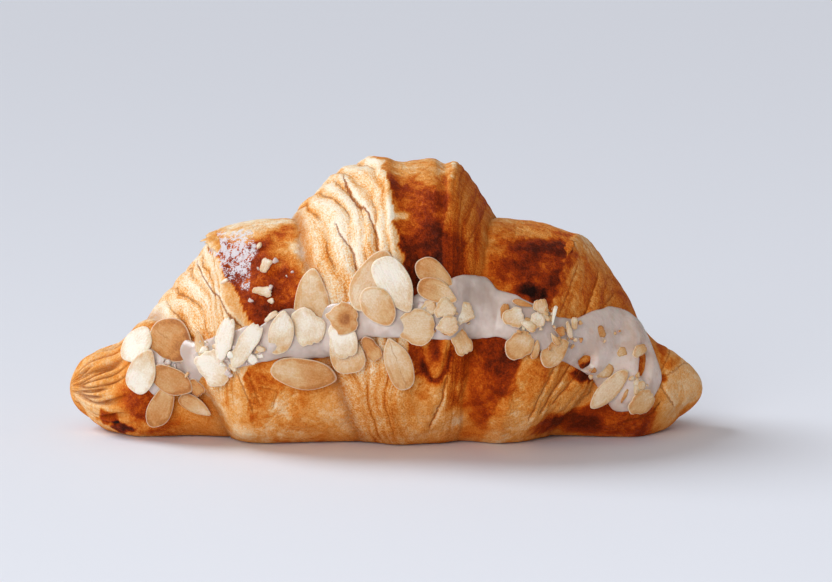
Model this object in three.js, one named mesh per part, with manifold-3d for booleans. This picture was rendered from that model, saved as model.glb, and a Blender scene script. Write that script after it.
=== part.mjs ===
// Almond croissant: one triangle of laminated dough, rolled up from its wide side so that
// its point comes down the front, baked, iced along the front and strewn with flaked almonds.
// Millimetres, +Z up, +X along the croissant, -Y towards the iced front. The origin is on
// the table, under the middle of the croissant.

import * as THREE from "three";
import { ParametricGeometry } from "three/addons/geometries/ParametricGeometry.js";
import { mergeVertices } from "three/addons/utils/BufferGeometryUtils.js";
import Module from "manifold-3d";

const wasm = await Module();
wasm.setup();

// The roll of dough
const LENGTH = 170; // tip to tip
const WIDENESS = 0.98; // half depth over mean radius
const SETTLED = 0.88; // height of the roll's middle line over its mean radius
const TIP_LIFT_LEFT = 3; // how far the ends curl up off the table
const TIP_LIFT_RIGHT = 4.2;
const TIP_LIFT_FROM = 64; // and how far out that begins
const TIP_SWEEP = 6; // how far the ends sweep back from the middle
const END_REACH = 11; // length of each rounded end
const FLOOR_BLEND = 1.2; // height over which the round side turns into the flat underside

// Mean radius of the roll: across, radius
const ROLL = [
  [-85, 8.5],
  [-78, 9.8],
  [-70, 13.4],
  [-65, 18],
  [-50, 23.4],
  [-42, 27.8],
  [-24, 32.8],
  [-12, 36.3],
  [12, 38.1],
  [22, 36.2],
  [33, 30.7],
  [56, 24.3],
  [65.5, 19.8],
  [70.5, 12.9],
  [78, 8.4],
  [85, 7.2],
];

// The spiral of the roll, from the point of the triangle out to either end: distance out, how
// far round the roll the cut edge has come there (degrees from underneath, up the front), and
// which share of a turn shows the layers of that edge
const POINT_X = 11;
const EDGE_LEFT = [
  [0, 60, 0.3],
  [7, 105, 0.45],
  [13, 180, 0.5],
  [24, 262, 0.54],
  [36, 347, 0.46],
  [46, 425, 0.26],
  [50, 452, 0.2],
  [56.5, 540, 0.32],
  [62, 585, 0.42],
  [77, 750, 0.5],
  [84, 790, 0.42],
  [96, 940, 0.3],
];
const EDGE_RIGHT = [
  [0, 60, 0.3],
  [5, 105, 0.4],
  [5.2, 180, 0.5],
  [13, 330, 0.6],
  [18.5, 413, 0.63],
  [23.5, 446, 0.42],
  [30.5, 470, 0.25],
  [41, 540, 0.33],
  [49, 640, 0.45],
  [57, 750, 0.58],
  [64, 830, 0.45],
  [74, 940, 0.3],
];
const RISE = 8.5; // thickness of one risen turn of dough
const RISE_UNDER = 0.36; // share of that thickness left on the flat underside
const RISE_FULL = 18; // mean radius from which a turn has its full thickness
const POINT_FADE = 14; // distance over which the point thins out to nothing
const FALL_UNDER = 2; // how a cut edge falls: late over 1, underneath,
const FALL_TOP = 0.8; // and at once below 1, on top
const CROWN = 1.3; // how far the top stands up between its two cut edges
const CROWN_FROM = [-2.5, 1.5]; // where it comes up
const CROWN_TO = [12.5, 16]; // and where it ends
const LIP = 0.5; // how far the crust flares out where a turn ends
const LAYERS = 5; // layers of dough that show on a cut edge
const TREAD = 0.55; // share of a layer that is its flat tread

// The icing along the front: across, its lower edge, its upper edge
const ICING_THICK = 2.2; // height of the icing over the crust
const ICING_DEPTH = 3; // how far its underside is drawn below the crust before it is cut away
const PIECE_GAP = 0.35; // clearance between the crust and what lies on it
const ICING = [
  [-70, 19, 26],
  [-62, 13, 28.5],
  [-51, 11, 30],
  [-42, 19, 31.5],
  [-29, 25, 35.5],
  [-24, 24, 37.5],
  [-13, 25.5, 39],
  [-4, 30, 40.5],
  [6, 30, 41.5],
  [20, 30.5, 46.5],
  [33, 29, 40.5],
  [47, 23, 33.6],
  [51, 20.5, 34],
  [57, 12, 35.6],
  [62, 9.5, 34],
  [68.5, 9.5, 28.5],
  [73.5, 14, 17.5],
];

// Flaked almonds: across, up, long, wide, turned (degrees), raised off the crust
const FLAKE_THICK = 1;
const FLAKES = [
  [-66, 25.5, 8.4, 6.8, 60, 1.1],
  [-63.5, 18.5, 11, 7, 74, 1.5],
  [-56, 27, 12, 9.6, -30, 2],
  [-55, 17, 12.2, 7, -24, 1.9],
  [-58.5, 10, 12, 6.3, 70, 1],
  [-49.5, 11, 9.3, 4.4, -32, 0.9],
  [-47.5, 27, 7.5, 2.6, 108, 1.5],
  [-44, 20, 9.5, 6.7, -20, 2],
  [-41.5, 30.5, 10.6, 2.9, 80, 1.8],
  [-35, 28, 12.2, 4.4, 61, 2.1],
  [-26, 31.5, 10.9, 6.3, 80, 2],
  [-18.5, 40.5, 16.2, 8.6, 95, 1.1],
  [-19, 32.5, 9.1, 6.9, -70, 2.3],
  [-20.5, 21.5, 16.6, 8.1, -8, 0.8],
  [-10, 36.5, 7.8, 6.6, 0, 1.9],
  [-9.5, 28.5, 11.6, 8.3, -65, 1.7],
  [-2.5, 28.5, 7.3, 4.3, -55, 1],
  [3.5, 25, 13.9, 6.6, -71, 0.9],
  [-2.5, 45, 16.3, 9.5, 65, 1.2],
  [2.5, 44.5, 15.1, 8.1, -60, 1.9],
  [-0.5, 39, 10.8, 7.8, -50, 2.5],
  [8, 34.5, 9, 8.6, 0, 2.1],
  [12.5, 47.5, 10.5, 6.1, -38, 1.1],
  [13, 43.5, 10.3, 5.5, -25, 1.8],
  [15, 38.5, 4.8, 4.5, 40, 1.9],
  [19, 37, 5.4, 4.8, 20, 1.9],
  [16, 34.5, 5.2, 4.4, 10, 2.1],
  [19, 29.5, 6.8, 4.4, -65, 1.3],
  [32.5, 35.5, 5.4, 4.8, 15, 1.9],
  [34, 29, 7.7, 6.1, 40, 1.1],
  [43, 25.5, 8.9, 5.6, 40, 1.1],
  [66.5, 23.5, 4.8, 2.8, 30, 1.5],
  [57, 19.5, 4.6, 4.2, 45, 1.9],
  [58.5, 14, 12.8, 4.4, 45, 1.8],
  [66.5, 11.5, 7.8, 5.2, 35, 1.3],
];

// How finely the curved surfaces are divided
const STATIONS = 104;
const SIDES = 40;
const ICING_STATIONS = 48;
const ICING_SIDES = 10;
const FLAKE_SIDES = 11;
const FINEST = 0.02; // edges shorter than this are drawn together after a cut

const TAU = 2 * Math.PI;
const { clamp, degToRad, lerp } = THREE.MathUtils;
const share = (value) => value - Math.floor(value);
const ease = (from, to, value) => THREE.MathUtils.smoothstep(value, from, to);

// A column of one of the lists above at any place between its rows.
function between(rows, at, column) {
  const next = rows.findIndex((row) => row[0] > at);
  if (next === 0) return rows[0][column];
  if (next < 0) return rows[rows.length - 1][column];
  const [before, after] = [rows[next - 1], rows[next]];
  return lerp(before[column], after[column], (at - before[0]) / (after[0] - before[0]));
}

// The same, rounded off over a width either way.
function smoothed(rows, at, column, width) {
  const steps = [-1, -0.5, 0, 0.5, 1];
  return steps.reduce((sum, step) => sum + between(rows, at + step * width, column), 0) / 5;
}

// Where on the spiral a place lies: the share of a turn since the last cut edge crossed on the
// way out, and the share of that turn which shows layers.
function spiral(x, angle) {
  const rows = x < POINT_X ? EDGE_LEFT : EDGE_RIGHT;
  const out = Math.abs(x - POINT_X);
  const come = smoothed(rows, out, 1, 3) / 360;
  const wander = 0.012 * Math.sin(3 * angle + 0.09 * x + 1) + 0.008 * Math.sin(5 * angle - 0.2 * x);
  return { past: share(come - angle / TAU + wander), cut: smoothed(rows, out, 2, 3) };
}

// The stair of layers down a cut edge: 0 at its top, 1 at its foot.
function layersDown(down, x, angle) {
  const slip = 0.3 * Math.sin(4 * angle + 0.15 * x) * Math.sin(Math.PI * down);
  const layer = clamp(down * LAYERS + slip, 0, LAYERS - 1e-6);
  const within = share(layer);
  const drop = 0.3 * Math.min(within / TREAD, 1) + 0.7 * ease(TREAD, 1, within);
  return (Math.floor(layer) + drop) / LAYERS;
}

// Height of the spiral's steps, from -0.5 to 0.5: it climbs along each turn and falls at each
// cut edge, straight on top and rounded over underneath.
function turnHeight({ past, cut }, x, angle, fine) {
  if (past > cut) return (past - cut) / (1 - cut) - 0.5;
  const over = (1 - Math.cos(angle)) / 2;
  const down = Math.pow(past / cut, lerp(FALL_UNDER, FALL_TOP, over));
  return 0.5 - (fine ? layersDown(down, x, angle) : down);
}

// How far the crust flares out at the end of a turn: slowly up to the edge, quickly off it.
function lip({ past }) {
  return past > 0.5 ? ease(0.8, 1, past) : 1 - ease(0, 0.06, past);
}

// The loaf's own unevenness, and the level stretch along its top.
function lumps(x, angle) {
  const level = ease(...CROWN_FROM, x) * (1 - ease(...CROWN_TO, x)) * ease(0.3, 0.9, -Math.cos(angle));
  return (
    CROWN * level +
    0.35 * Math.sin(0.11 * x + 2 * angle + 0.4) +
    0.25 * Math.sin(0.19 * x - angle + 2.1) +
    0.2 * Math.sin(0.07 * x + 3 * angle + 1.2)
  );
}

// A place on the crust. The angle starts underneath and runs up the front and over the top.
// The detail is 1 with everything, 0.5 without layers and lips, 0 without the turns' steps.
function crust(x, angle, target, detail = 1) {
  const mean = smoothed(ROLL, x, 1, 2);
  const turn = spiral(x, angle);
  const under = ease(0.2, 1, Math.cos(angle));
  const thinned = Math.min(1, mean / RISE_FULL) * ease(0, POINT_FADE, Math.abs(x - POINT_X));
  const size = detail > 0 ? thinned * lerp(1, RISE_UNDER, under) : 0;
  const fine = detail === 1;
  const step = RISE * turnHeight(turn, x, angle, fine) + (fine ? LIP * lip(turn) : 0);
  const intoEnd = Math.max(0, 1 - (LENGTH / 2 - Math.abs(x)) / END_REACH);
  const closing = Math.sqrt(Math.max(0, 1 - intoEnd * intoEnd));
  const radius = closing * (mean + size * step + lumps(x, angle));
  const beyond = Math.max(0, Math.abs(x) - TIP_LIFT_FROM) / (LENGTH / 2 - TIP_LIFT_FROM);
  const lift = (x < 0 ? TIP_LIFT_LEFT : TIP_LIFT_RIGHT) * Math.pow(beyond, 1.5);
  const raw = SETTLED * mean + lift - radius * Math.cos(angle);
  const blend = (raw + FLOOR_BLEND) ** 2 / (4 * FLOOR_BLEND);
  const height = raw > FLOOR_BLEND ? raw : raw < -FLOOR_BLEND ? 0 : blend;
  const sweep = TIP_SWEEP * (x / (LENGTH / 2)) ** 2;
  return target.set(x, sweep - WIDENESS * radius * Math.sin(angle), height);
}

// The direction out of the crust at a place, taken over some width so that it's an even one.
function outOf(x, angle, detail) {
  const beside = 4;
  const turned = degToRad(6);
  const right = crust(x + beside, angle, new THREE.Vector3(), detail);
  right.sub(crust(x - beside, angle, new THREE.Vector3(), detail));
  const above = crust(x, angle + turned, new THREE.Vector3(), detail);
  above.sub(crust(x, angle - turned, new THREE.Vector3(), detail));
  return right.cross(above).normalize();
}

// The place on the front of the crust at a given height, and the direction out of it there:
// halfway between that of the stepped crust and that of the plain roll.
function frontAt(x, up) {
  let low = degToRad(8);
  let high = degToRad(176);
  const place = new THREE.Vector3();
  for (let i = 0; i < 24; i++) {
    const middle = (low + high) / 2;
    if (crust(x, middle, place, 0.5).z < up) low = middle;
    else high = middle;
  }
  return { place, outwards: outOf(x, low, 0.5).add(outOf(x, low, 0)).normalize() };
}

// The bare shape of a geometry, with the corners that faces share made one.
function joined(geometry) {
  const bare = new THREE.BufferGeometry();
  bare.setAttribute("position", geometry.getAttribute("position"));
  if (geometry.index) bare.setIndex(geometry.index);
  return mergeVertices(bare, 1e-4);
}

// A geometry as a closed solid, without the faces that shrank to nothing at a pole.
function solidOf(geometry) {
  const whole = joined(geometry);
  const corners = whole.index.array;
  const triVerts = [];
  for (let i = 0; i < corners.length; i += 3) {
    const [a, b, c] = corners.slice(i, i + 3);
    if (a !== b && b !== c && c !== a) triVerts.push(a, b, c);
  }
  const mesh = new wasm.Mesh({
    numProp: 3,
    vertProperties: whole.attributes.position.array,
    triVerts: new Uint32Array(triVerts),
  });
  return new wasm.Manifold(mesh);
}

function geometryOf(solid) {
  const { vertProperties, triVerts } = solid.getMesh();
  const geometry = new THREE.BufferGeometry();
  geometry.setAttribute("position", new THREE.BufferAttribute(vertProperties, 3));
  geometry.setIndex(new THREE.BufferAttribute(triVerts, 1));
  geometry.computeVertexNormals();
  return geometry;
}

// The whole crust as a surface, its stations closer together towards the ends.
function crustSurface() {
  const crowding = 0.35;
  return new ParametricGeometry(
    (u, v, target) => {
      const even = 2 * u - 1;
      const x = (LENGTH / 2) * lerp(even, Math.sin((Math.PI / 2) * even), crowding);
      crust(x, TAU * (v % 1), target);
    },
    STATIONS,
    SIDES,
  );
}

// The crust swollen by the clearance, so that what lies on it can be cut to it.
function swollenCrust() {
  const swollen = joined(crustSurface());
  swollen.computeVertexNormals();
  const places = swollen.attributes.position;
  const normals = swollen.attributes.normal;
  const place = new THREE.Vector3();
  const normal = new THREE.Vector3();
  for (let i = 0; i < places.count; i++) {
    place.fromBufferAttribute(places, i);
    normal.fromBufferAttribute(normals, i);
    place.addScaledVector(normal, PIECE_GAP);
    places.setXYZ(i, place.x, place.y, place.z);
  }
  return swollen;
}

// The band of icing: a full, round-edged section carried along the front between its lower and
// upper edges, closed to a point at each end.
function icingSurface() {
  const from = ICING[0][0];
  const to = ICING[ICING.length - 1][0];
  return new ParametricGeometry(
    (u, v, target) => {
      const x = lerp(from, to, u);
      const low = smoothed(ICING, x, 1, 1.5);
      const high = smoothed(ICING, x, 2, 1.5);
      const ending = Math.sqrt(Math.max(0, 1 - (2 * u - 1) ** 16));
      const around = TAU * (v % 1);
      const across = -0.5 * (high - low) * ending * Math.cos(around);
      const { place, outwards } = frontAt(x, (low + high) / 2 + across);
      const full = Math.sign(Math.sin(around)) * Math.sqrt(Math.abs(Math.sin(around)));
      const out = ending * full * (full > 0 ? ICING_THICK : ICING_DEPTH);
      target.copy(place).addScaledVector(outwards, out);
    },
    ICING_STATIONS,
    ICING_SIDES,
  );
}

// One flaked almond: a thin leaf, rounder at one end, lying against the front.
function flakeSurface([x, up, long, wide, turned, raised]) {
  const outline = new THREE.Shape();
  for (let i = 0; i < FLAKE_SIDES; i++) {
    const around = (TAU * i) / FLAKE_SIDES;
    const taper = 1 - 0.18 * Math.cos(around);
    const corner = [(long / 2) * Math.cos(around), (wide / 2) * taper * Math.sin(around)];
    if (i === 0) outline.moveTo(...corner);
    else outline.lineTo(...corner);
  }
  const leaf = new THREE.ExtrudeGeometry(outline, { depth: FLAKE_THICK, bevelEnabled: false });
  const { place, outwards } = frontAt(x, up);
  const along = new THREE.Vector3(0, 0, 1).cross(outwards).normalize();
  const upwards = new THREE.Vector3().crossVectors(outwards, along);
  leaf.applyMatrix4(new THREE.Matrix4().makeRotationZ(degToRad(turned)));
  leaf.applyMatrix4(new THREE.Matrix4().makeBasis(along, upwards, outwards));
  place.addScaledVector(outwards, raised);
  return leaf.translate(place.x, place.y, place.z);
}

// Icing and almonds in one, cut clear of the crust, without scraps that the cut left loose.
function toppingSolid() {
  const icing = solidOf(icingSurface());
  const whole = FLAKES.reduce((made, flake) => made.add(solidOf(flakeSurface(flake))), icing);
  const pieces = whole.subtract(solidOf(swollenCrust())).simplify(FINEST).decompose();
  return pieces.reduce((largest, piece) => (piece.volume() > largest.volume() ? piece : largest));
}

function named(name, solid, color, roughness) {
  const material = new THREE.MeshStandardMaterial({ color, roughness, metalness: 0 });
  const mesh = new THREE.Mesh(geometryOf(solid), material);
  mesh.name = name;
  return mesh;
}

const croissant = new THREE.Group();
croissant.add(named("pastry", solidOf(crustSurface()), 0xb9702f, 0.6));
croissant.add(named("icing_with_almonds", toppingSolid(), 0xe6d6c2, 0.5));

const box = new THREE.Box3().setFromObject(croissant, true);
const middle = box.getCenter(new THREE.Vector3());
croissant.position.set(-middle.x, -middle.y, -box.min.z);

export default croissant;
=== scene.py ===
import math
from types import SimpleNamespace

import bpy
import numpy as np
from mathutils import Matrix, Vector


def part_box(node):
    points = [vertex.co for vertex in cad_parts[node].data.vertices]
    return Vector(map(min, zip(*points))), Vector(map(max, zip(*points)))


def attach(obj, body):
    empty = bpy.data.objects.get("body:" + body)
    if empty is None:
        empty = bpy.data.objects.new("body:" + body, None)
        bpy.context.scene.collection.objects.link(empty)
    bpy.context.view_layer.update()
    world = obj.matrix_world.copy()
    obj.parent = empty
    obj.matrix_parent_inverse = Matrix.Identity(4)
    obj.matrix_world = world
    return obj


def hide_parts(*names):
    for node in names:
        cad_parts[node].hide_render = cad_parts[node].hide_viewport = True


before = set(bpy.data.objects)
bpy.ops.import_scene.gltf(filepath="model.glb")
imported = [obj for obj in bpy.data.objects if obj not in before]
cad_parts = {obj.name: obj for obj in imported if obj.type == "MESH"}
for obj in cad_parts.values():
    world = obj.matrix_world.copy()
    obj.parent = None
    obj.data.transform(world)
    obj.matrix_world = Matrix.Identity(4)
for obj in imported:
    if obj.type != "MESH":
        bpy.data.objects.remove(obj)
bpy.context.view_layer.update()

# Almond croissant: the solids' crust, icing and flakes made again with layers, folds and browning.
# Lengths are millimetres, and angles radians unless a note says degrees; -Y is the iced front.
mm = 0.001
tau = 2 * math.pi


# small tools for whole arrays

def ease(low, high, value):
    # 0 below low, 1 above high, an S curve between
    t = np.clip((value - low) / (high - low), 0, 1)
    return t * t * (3 - 2 * t)


def between(low, high, t):
    # the value a share t of the way from low to high
    return low + (high - low) * t


def bump(value, middle, width):
    # a bell of height 1 round the middle
    return np.exp(-((value - middle) / width) ** 2)


def unit(vectors):
    # vectors divided by their own length
    return vectors / np.linalg.norm(vectors, axis=-1, keepdims=True)


def rowsAt(rows, at, column, width):
    # a column of a list at any place between its rows, averaged over a width either way
    table = np.array(rows, float)
    places = np.asarray(at, float)[..., None] + width * np.linspace(-1, 1, 5)
    return np.interp(places, table[:, 0], table[:, column]).mean(-1)


def waves(rows, x, angle):
    # sines along and round the roll, added together; a row has height, waves along, waves round, phase
    return sum(high * np.sin(along * x + around * angle + phase) for high, along, around, phase in rows)


def crowdedEnds(count, crowding):
    # places from -1 to 1, closer together towards both ends: even steps mixed with those of a sine
    even = np.linspace(-1, 1, count + 2)[1:-1]
    return between(even, np.sin(even * math.pi / 2), crowding)


hashing = dict(
    steps=[73856093, 19349663, 83492791],  # what one place further along each axis adds
    seedStep=7919,
    stirs=[(13, 1274126177), (15, 668265263)],  # by how many bits a value is laid over itself, times what
    keep=0xFFFFFFFF,
    levels=65536,
)


def grain(point, seed):
    # noise from -1 to 1: a hashed value on each whole-number place, eased between the eight round a point
    cell = np.floor(point).astype(np.int64)
    part = ease(0, 1, point - cell)
    total = np.zeros(point.shape[:-1])
    for corner in np.ndindex(2, 2, 2):
        mixed = ((cell + corner) @ np.array(hashing["steps"]) + seed * hashing["seedStep"]) & hashing["keep"]
        for bits, factor in hashing["stirs"]:
            mixed = ((mixed ^ (mixed >> bits)) * factor) & hashing["keep"]
        value = (mixed >> 8) % hashing["levels"] / ((hashing["levels"] - 1) / 2) - 1
        total += value * np.prod(np.where(np.array(corner) == 1, part, 1 - part), axis=-1)
    return total


def cloud(point, row):
    # noise with ever finer noise on it, each half the size and half as strong. A row has strength, size,
    # seed and how many sizes there are
    strength, size, seed, octaves = row
    total = 0
    for octave in range(octaves):
        total = total + grain(point / size * 2 ** octave, seed + octave) / 2 ** octave
    return strength * total


# the roll of dough, as in the solids

roll = dict(
    length=170,
    wideness=0.98,  # half depth over mean radius
    settled=0.88,  # height of the middle line over mean radius
    tipLift=(3, 4.2),  # left, right
    tipLiftFrom=64,
    tipLiftCurve=1.5,
    tipSweep=6,
    endReach=11,
    floorBlend=1.2,
    pointX=11,  # where the point of the dough comes down the front
    pointFade=14,
    rise=8.5,  # thickness of one risen turn
    riseUnder=0.36,
    riseFull=18,
    underFrom=0.2,  # cosine of the angle from which a place counts as underneath
    fall=(2, 0.8),  # how a cut edge falls: late over 1, underneath, and at once below 1, on top
    crown=1.3,  # how far the top stands up between its two cut edges
    crownFrom=(-2.5, 1.5),
    crownTo=(12.5, 16),
    crownTop=(0.3, 0.9),  # cosines of the angle from the top between which it comes in
    # height, waves along, waves round, phase
    lumps=[(0.35, 0.11, 2, 0.4), (0.25, 0.19, -1, 2.1), (0.2, 0.07, 3, 1.2)],
    wander=[(0.012, 0.09, 3, 1), (0.008, -0.2, 5, 0)],  # of the cut edges, in turns
    # across, mean radius
    radius=[(-85, 8.5), (-78, 9.8), (-70, 13.4), (-65, 18), (-50, 23.4), (-42, 27.8), (-24, 32.8),
            (-12, 36.3), (12, 38.1), (22, 36.2), (33, 30.7), (56, 24.3), (65.5, 19.8), (70.5, 12.9),
            (78, 8.4), (85, 7.2)],
    radiusBlend=2,
    # out from the point, degrees that the cut edge has come round, share of a turn that shows layers
    left=[(0, 60, 0.3), (7, 105, 0.45), (13, 180, 0.5), (24, 262, 0.54), (36, 347, 0.46),
          (46, 425, 0.26), (50, 452, 0.2), (56.5, 540, 0.32), (62, 585, 0.42), (77, 750, 0.5),
          (84, 790, 0.42), (96, 940, 0.3)],
    right=[(0, 60, 0.3), (5, 105, 0.4), (5.2, 180, 0.5), (13, 330, 0.6), (18.5, 413, 0.63),
           (23.5, 446, 0.42), (30.5, 470, 0.25), (41, 540, 0.33), (49, 640, 0.45), (57, 750, 0.58),
           (64, 830, 0.45), (74, 940, 0.3)],
    edgeBlend=3,
)


def spiral(x, angle):
    # turns of dough up to a place: how far round the edge has come there, less the angle; each whole
    # number is a cut edge. Second: the share of the turn that shows layers
    out = np.abs(x - roll["pointX"])
    come, cut = (np.where(x < roll["pointX"], rowsAt(roll["left"], out, column, roll["edgeBlend"]),
                          rowsAt(roll["right"], out, column, roll["edgeBlend"])) for column in (1, 2))
    return come / 360 - angle / tau + waves(roll["wander"], x, angle), cut


def downEdge(past, cut, angle):
    # how far down a cut edge: 0 at its lip, 1 at its foot; steep on top and rounded over underneath
    over = (1 - np.cos(angle)) / 2
    return np.clip(past / cut, 0, 1) ** between(*roll["fall"], over)


def turnHeight(past, cut, down):
    # climbs from -0.5 to 0.5 along each turn, and falls again over its cut edge
    return np.where(past > cut, (past - cut) / (1 - cut) - 0.5, 0.5 - down)


def meanRadius(x):
    # the roll's radius without its steps
    return rowsAt(roll["radius"], x, 1, roll["radiusBlend"])


def stepSize(x):
    # how full the steps between turns are: less as the roll gets thin, and fading in from the dough's point
    fading = ease(0, roll["pointFade"], np.abs(x - roll["pointX"]))
    return fading * np.minimum(1, meanRadius(x) / roll["riseFull"])


def crust(x, angle, stepped=1, height=None, relief=0):
    # a roll along X: mean radius plus the turns' steps, lumps and relief, drawn in at both ends, flat where
    # it meets the floor. The angle starts underneath and runs up the front and over the top
    if height is None:
        turns, cut = spiral(x, angle)
        past = turns % 1
        height = turnHeight(past, cut, downEdge(past, cut, angle))
    mean = meanRadius(x)
    under = ease(roll["underFrom"], 1, np.cos(angle))
    step = roll["rise"] * stepSize(x) * between(1, roll["riseUnder"], under) * height
    crown = ease(*roll["crownFrom"], x) * (1 - ease(*roll["crownTo"], x))
    crown = crown * ease(*roll["crownTop"], -np.cos(angle))
    lumps = waves(roll["lumps"], x, angle) + roll["crown"] * crown
    half = roll["length"] / 2
    intoEnd = np.maximum(0, 1 - (half - np.abs(x)) / roll["endReach"])
    closing = np.sqrt(np.maximum(0, 1 - intoEnd ** 2))
    radius = closing * (mean + stepped * step + lumps + relief)
    beyond = np.maximum(0, np.abs(x) - roll["tipLiftFrom"]) / (half - roll["tipLiftFrom"])
    lift = np.where(x < 0, *roll["tipLift"]) * beyond ** roll["tipLiftCurve"]
    raw = roll["settled"] * mean + lift - radius * np.cos(angle)
    soft = roll["floorBlend"]
    up = np.where(raw > soft, raw, np.where(raw < -soft, 0, (raw + soft) ** 2 / (4 * soft)))
    sweep = roll["tipSweep"] * (x / half) ** 2
    return np.stack([x, sweep - roll["wideness"] * radius * np.sin(angle), up], -1)


def frontAngle(x, up, lowest=math.radians(8), highest=math.radians(176), halvings=24):
    # the angle on the front where the crust reaches a height, by halving
    low = np.full(np.shape(x), lowest)
    high = np.full(np.shape(x), highest)
    for _ in range(halvings):
        middle = (low + high) / 2
        below = crust(x, middle)[..., 2] < up
        low = np.where(below, middle, low)
        high = np.where(below, high, middle)
    return (low + high) / 2


def outOf(x, angle, beside=4, turned=math.radians(6)):
    # direction out of the crust, halfway between that of its steps and that of the plain roll
    total = 0
    for stepped in (1, 0):
        across = crust(x + beside, angle, stepped) - crust(x - beside, angle, stepped)
        upward = crust(x, angle + turned, stepped) - crust(x, angle - turned, stepped)
        total = total + unit(np.cross(across, upward))
    return unit(total)


# the solids stand in the middle of their own box, so the same surface is moved by the same amount
trialAcross = np.linspace(-roll["length"] / 2, roll["length"] / 2, 240)
trial = crust(*np.meshgrid(trialAcross, np.linspace(0, tau, 120), indexing="ij")).reshape(-1, 3)
pastryLow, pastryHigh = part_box("pastry")
shift = (np.array(pastryLow) + np.array(pastryHigh)) / 2 / mm - (trial.min(0) + trial.max(0)) / 2
shift[2] = 0
print("roll lies", np.round(shift, 2), "mm from its own frame")


# materials as Python expressions

def colour(code):
    # a screen colour such as "c08040" in the linear light that shaders use
    screen = np.array([int(code[i:i + 2], 16) for i in (0, 2, 4)]) / 255
    linear = np.where(screen < 0.04045, screen / 12.92, ((screen + 0.055) / 1.055) ** 2.4)
    return (*linear.tolist(), 1.0)


class Wire:
    # one socket of a material; sums and products of wires add Math nodes
    def __init__(self, tree, socket=None):
        self.tree = tree
        self.socket = socket

    def node(self, kind, settings=None, sockets=None, out=0):
        # adds any node: its settings first, then values or wires for its sockets; gives one of its outputs
        made = self.tree.nodes.new(kind)
        for name, value in (settings or {}).items():
            if name == "stops":
                self.setStops(made.color_ramp.elements, value)
            else:
                setattr(made, name, value)
        for name, value in (sockets or {}).items():
            if isinstance(value, Wire):
                self.tree.links.new(value.socket, made.inputs[name])
            else:
                made.inputs[name].default_value = value
        return Wire(self.tree, made.outputs[out])

    def setStops(self, elements, stops):
        # a ramp's stops, each with a place and a screen colour
        while len(elements) < len(stops):
            elements.new(1)
        for element, (place, code) in zip(elements, stops):
            element.position = place
            element.color = colour(code)

    def maths(self, operation, first, second=0.0):
        return self.node("ShaderNodeMath", dict(operation=operation), {0: first, 1: second})

    def __add__(self, other):
        return self.maths("ADD", self, other)

    def __radd__(self, other):
        return self.maths("ADD", other, self)

    def __sub__(self, other):
        return self.maths("SUBTRACT", self, other)

    def __rsub__(self, other):
        return self.maths("SUBTRACT", other, self)

    def __mul__(self, other):
        return self.maths("MULTIPLY", self, other)

    def __rmul__(self, other):
        return self.maths("MULTIPLY", other, self)

    def over(self, low, high):
        # 0 below low, 1 above high, an S curve between
        settings = dict(interpolation_type="SMOOTHSTEP")
        return self.node("ShaderNodeMapRange", settings, {"Value": self, "From Min": low, "From Max": high})

    def part(self, axis):
        # one of a vector's three numbers
        return self.node("ShaderNodeSeparateXYZ", None, {"Vector": self}, axis)

    def place(self, x, y):
        # a flat place from two numbers
        return self.node("ShaderNodeCombineXYZ", None, {"X": x, "Y": y})

    def attribute(self, name):
        # what the mesh carries for each point under a name
        return self.node("ShaderNodeAttribute", dict(attribute_name=name), out="Fac")

    def noise(self, place, scale, detail, rough):
        # smooth noise round a half
        sockets = {"Vector": place, "Scale": scale, "Detail": detail, "Roughness": rough}
        return self.node("ShaderNodeTexNoise", dict(noise_dimensions="3D"), sockets, "Fac")

    def spots(self, place, row):
        # noise spread to run from 0 to 1. A row has scale, detail, roughness, and what becomes 0 and 1
        scale, detail, rough, low, high = row
        return self.noise(place, scale, detail, rough).over(low, high)

    def mixed(self, share, first, second):
        # a share of the second colour over the first
        settings = dict(data_type="RGBA", clamp_factor=True)
        return self.node("ShaderNodeMix", settings, {0: share, 6: first, 7: second}, 2)

    def ramp(self, stops):
        # a colour by this wire's value, mixed from the two stops it lies between
        return self.node("ShaderNodeValToRGB", dict(stops=stops), {"Fac": self}, "Color")

    def bumped(self, strength, distance):
        # the surface's direction when this wire is its height
        sockets = {"Strength": strength, "Distance": distance * mm, "Height": self}
        return self.node("ShaderNodeBump", None, sockets, "Normal")


def newMaterial(name):
    # an empty material: its tree as a wire, and its surface shader
    material = bpy.data.materials.new(name)
    material.use_nodes = True
    tree = material.node_tree
    return material, Wire(tree), tree.nodes["Principled BSDF"]


def plug(wire, shader, **sockets):
    # wires and values into a shader's sockets, their names written without spaces
    names = {socket.name.replace(" ", ""): socket for socket in shader.inputs}
    for name, value in sockets.items():
        if isinstance(value, Wire):
            wire.tree.links.new(value.socket, names[name])
        else:
            names[name].default_value = value


# meshes from arrays

def addPiece(name, points, faces, material, replaced, marks, layout=None):
    # a mesh of points in mm, with a number for each point under each mark, and a layout in two numbers for
    # each corner of a face
    mesh = bpy.data.meshes.new(name)
    mesh.from_pydata((points + shift) * mm, [], faces)
    mesh.polygons.foreach_set("use_smooth", np.ones(len(mesh.polygons), bool))
    for mark, values in marks.items():
        attribute = mesh.attributes.new(mark, "FLOAT", "POINT")
        attribute.data.foreach_set("value", np.asarray(values, np.float32).ravel())
    if layout is not None:
        mesh.uv_layers.new(name="layout").data.foreach_set("uv", layout.astype(np.float32).ravel())
    mesh.materials.append(material)
    mesh.validate()
    piece = bpy.data.objects.new(name, mesh)
    bpy.context.scene.collection.objects.link(piece)
    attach(piece, "root")
    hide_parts(replaced)
    print(name, len(mesh.polygons), "faces")


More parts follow.
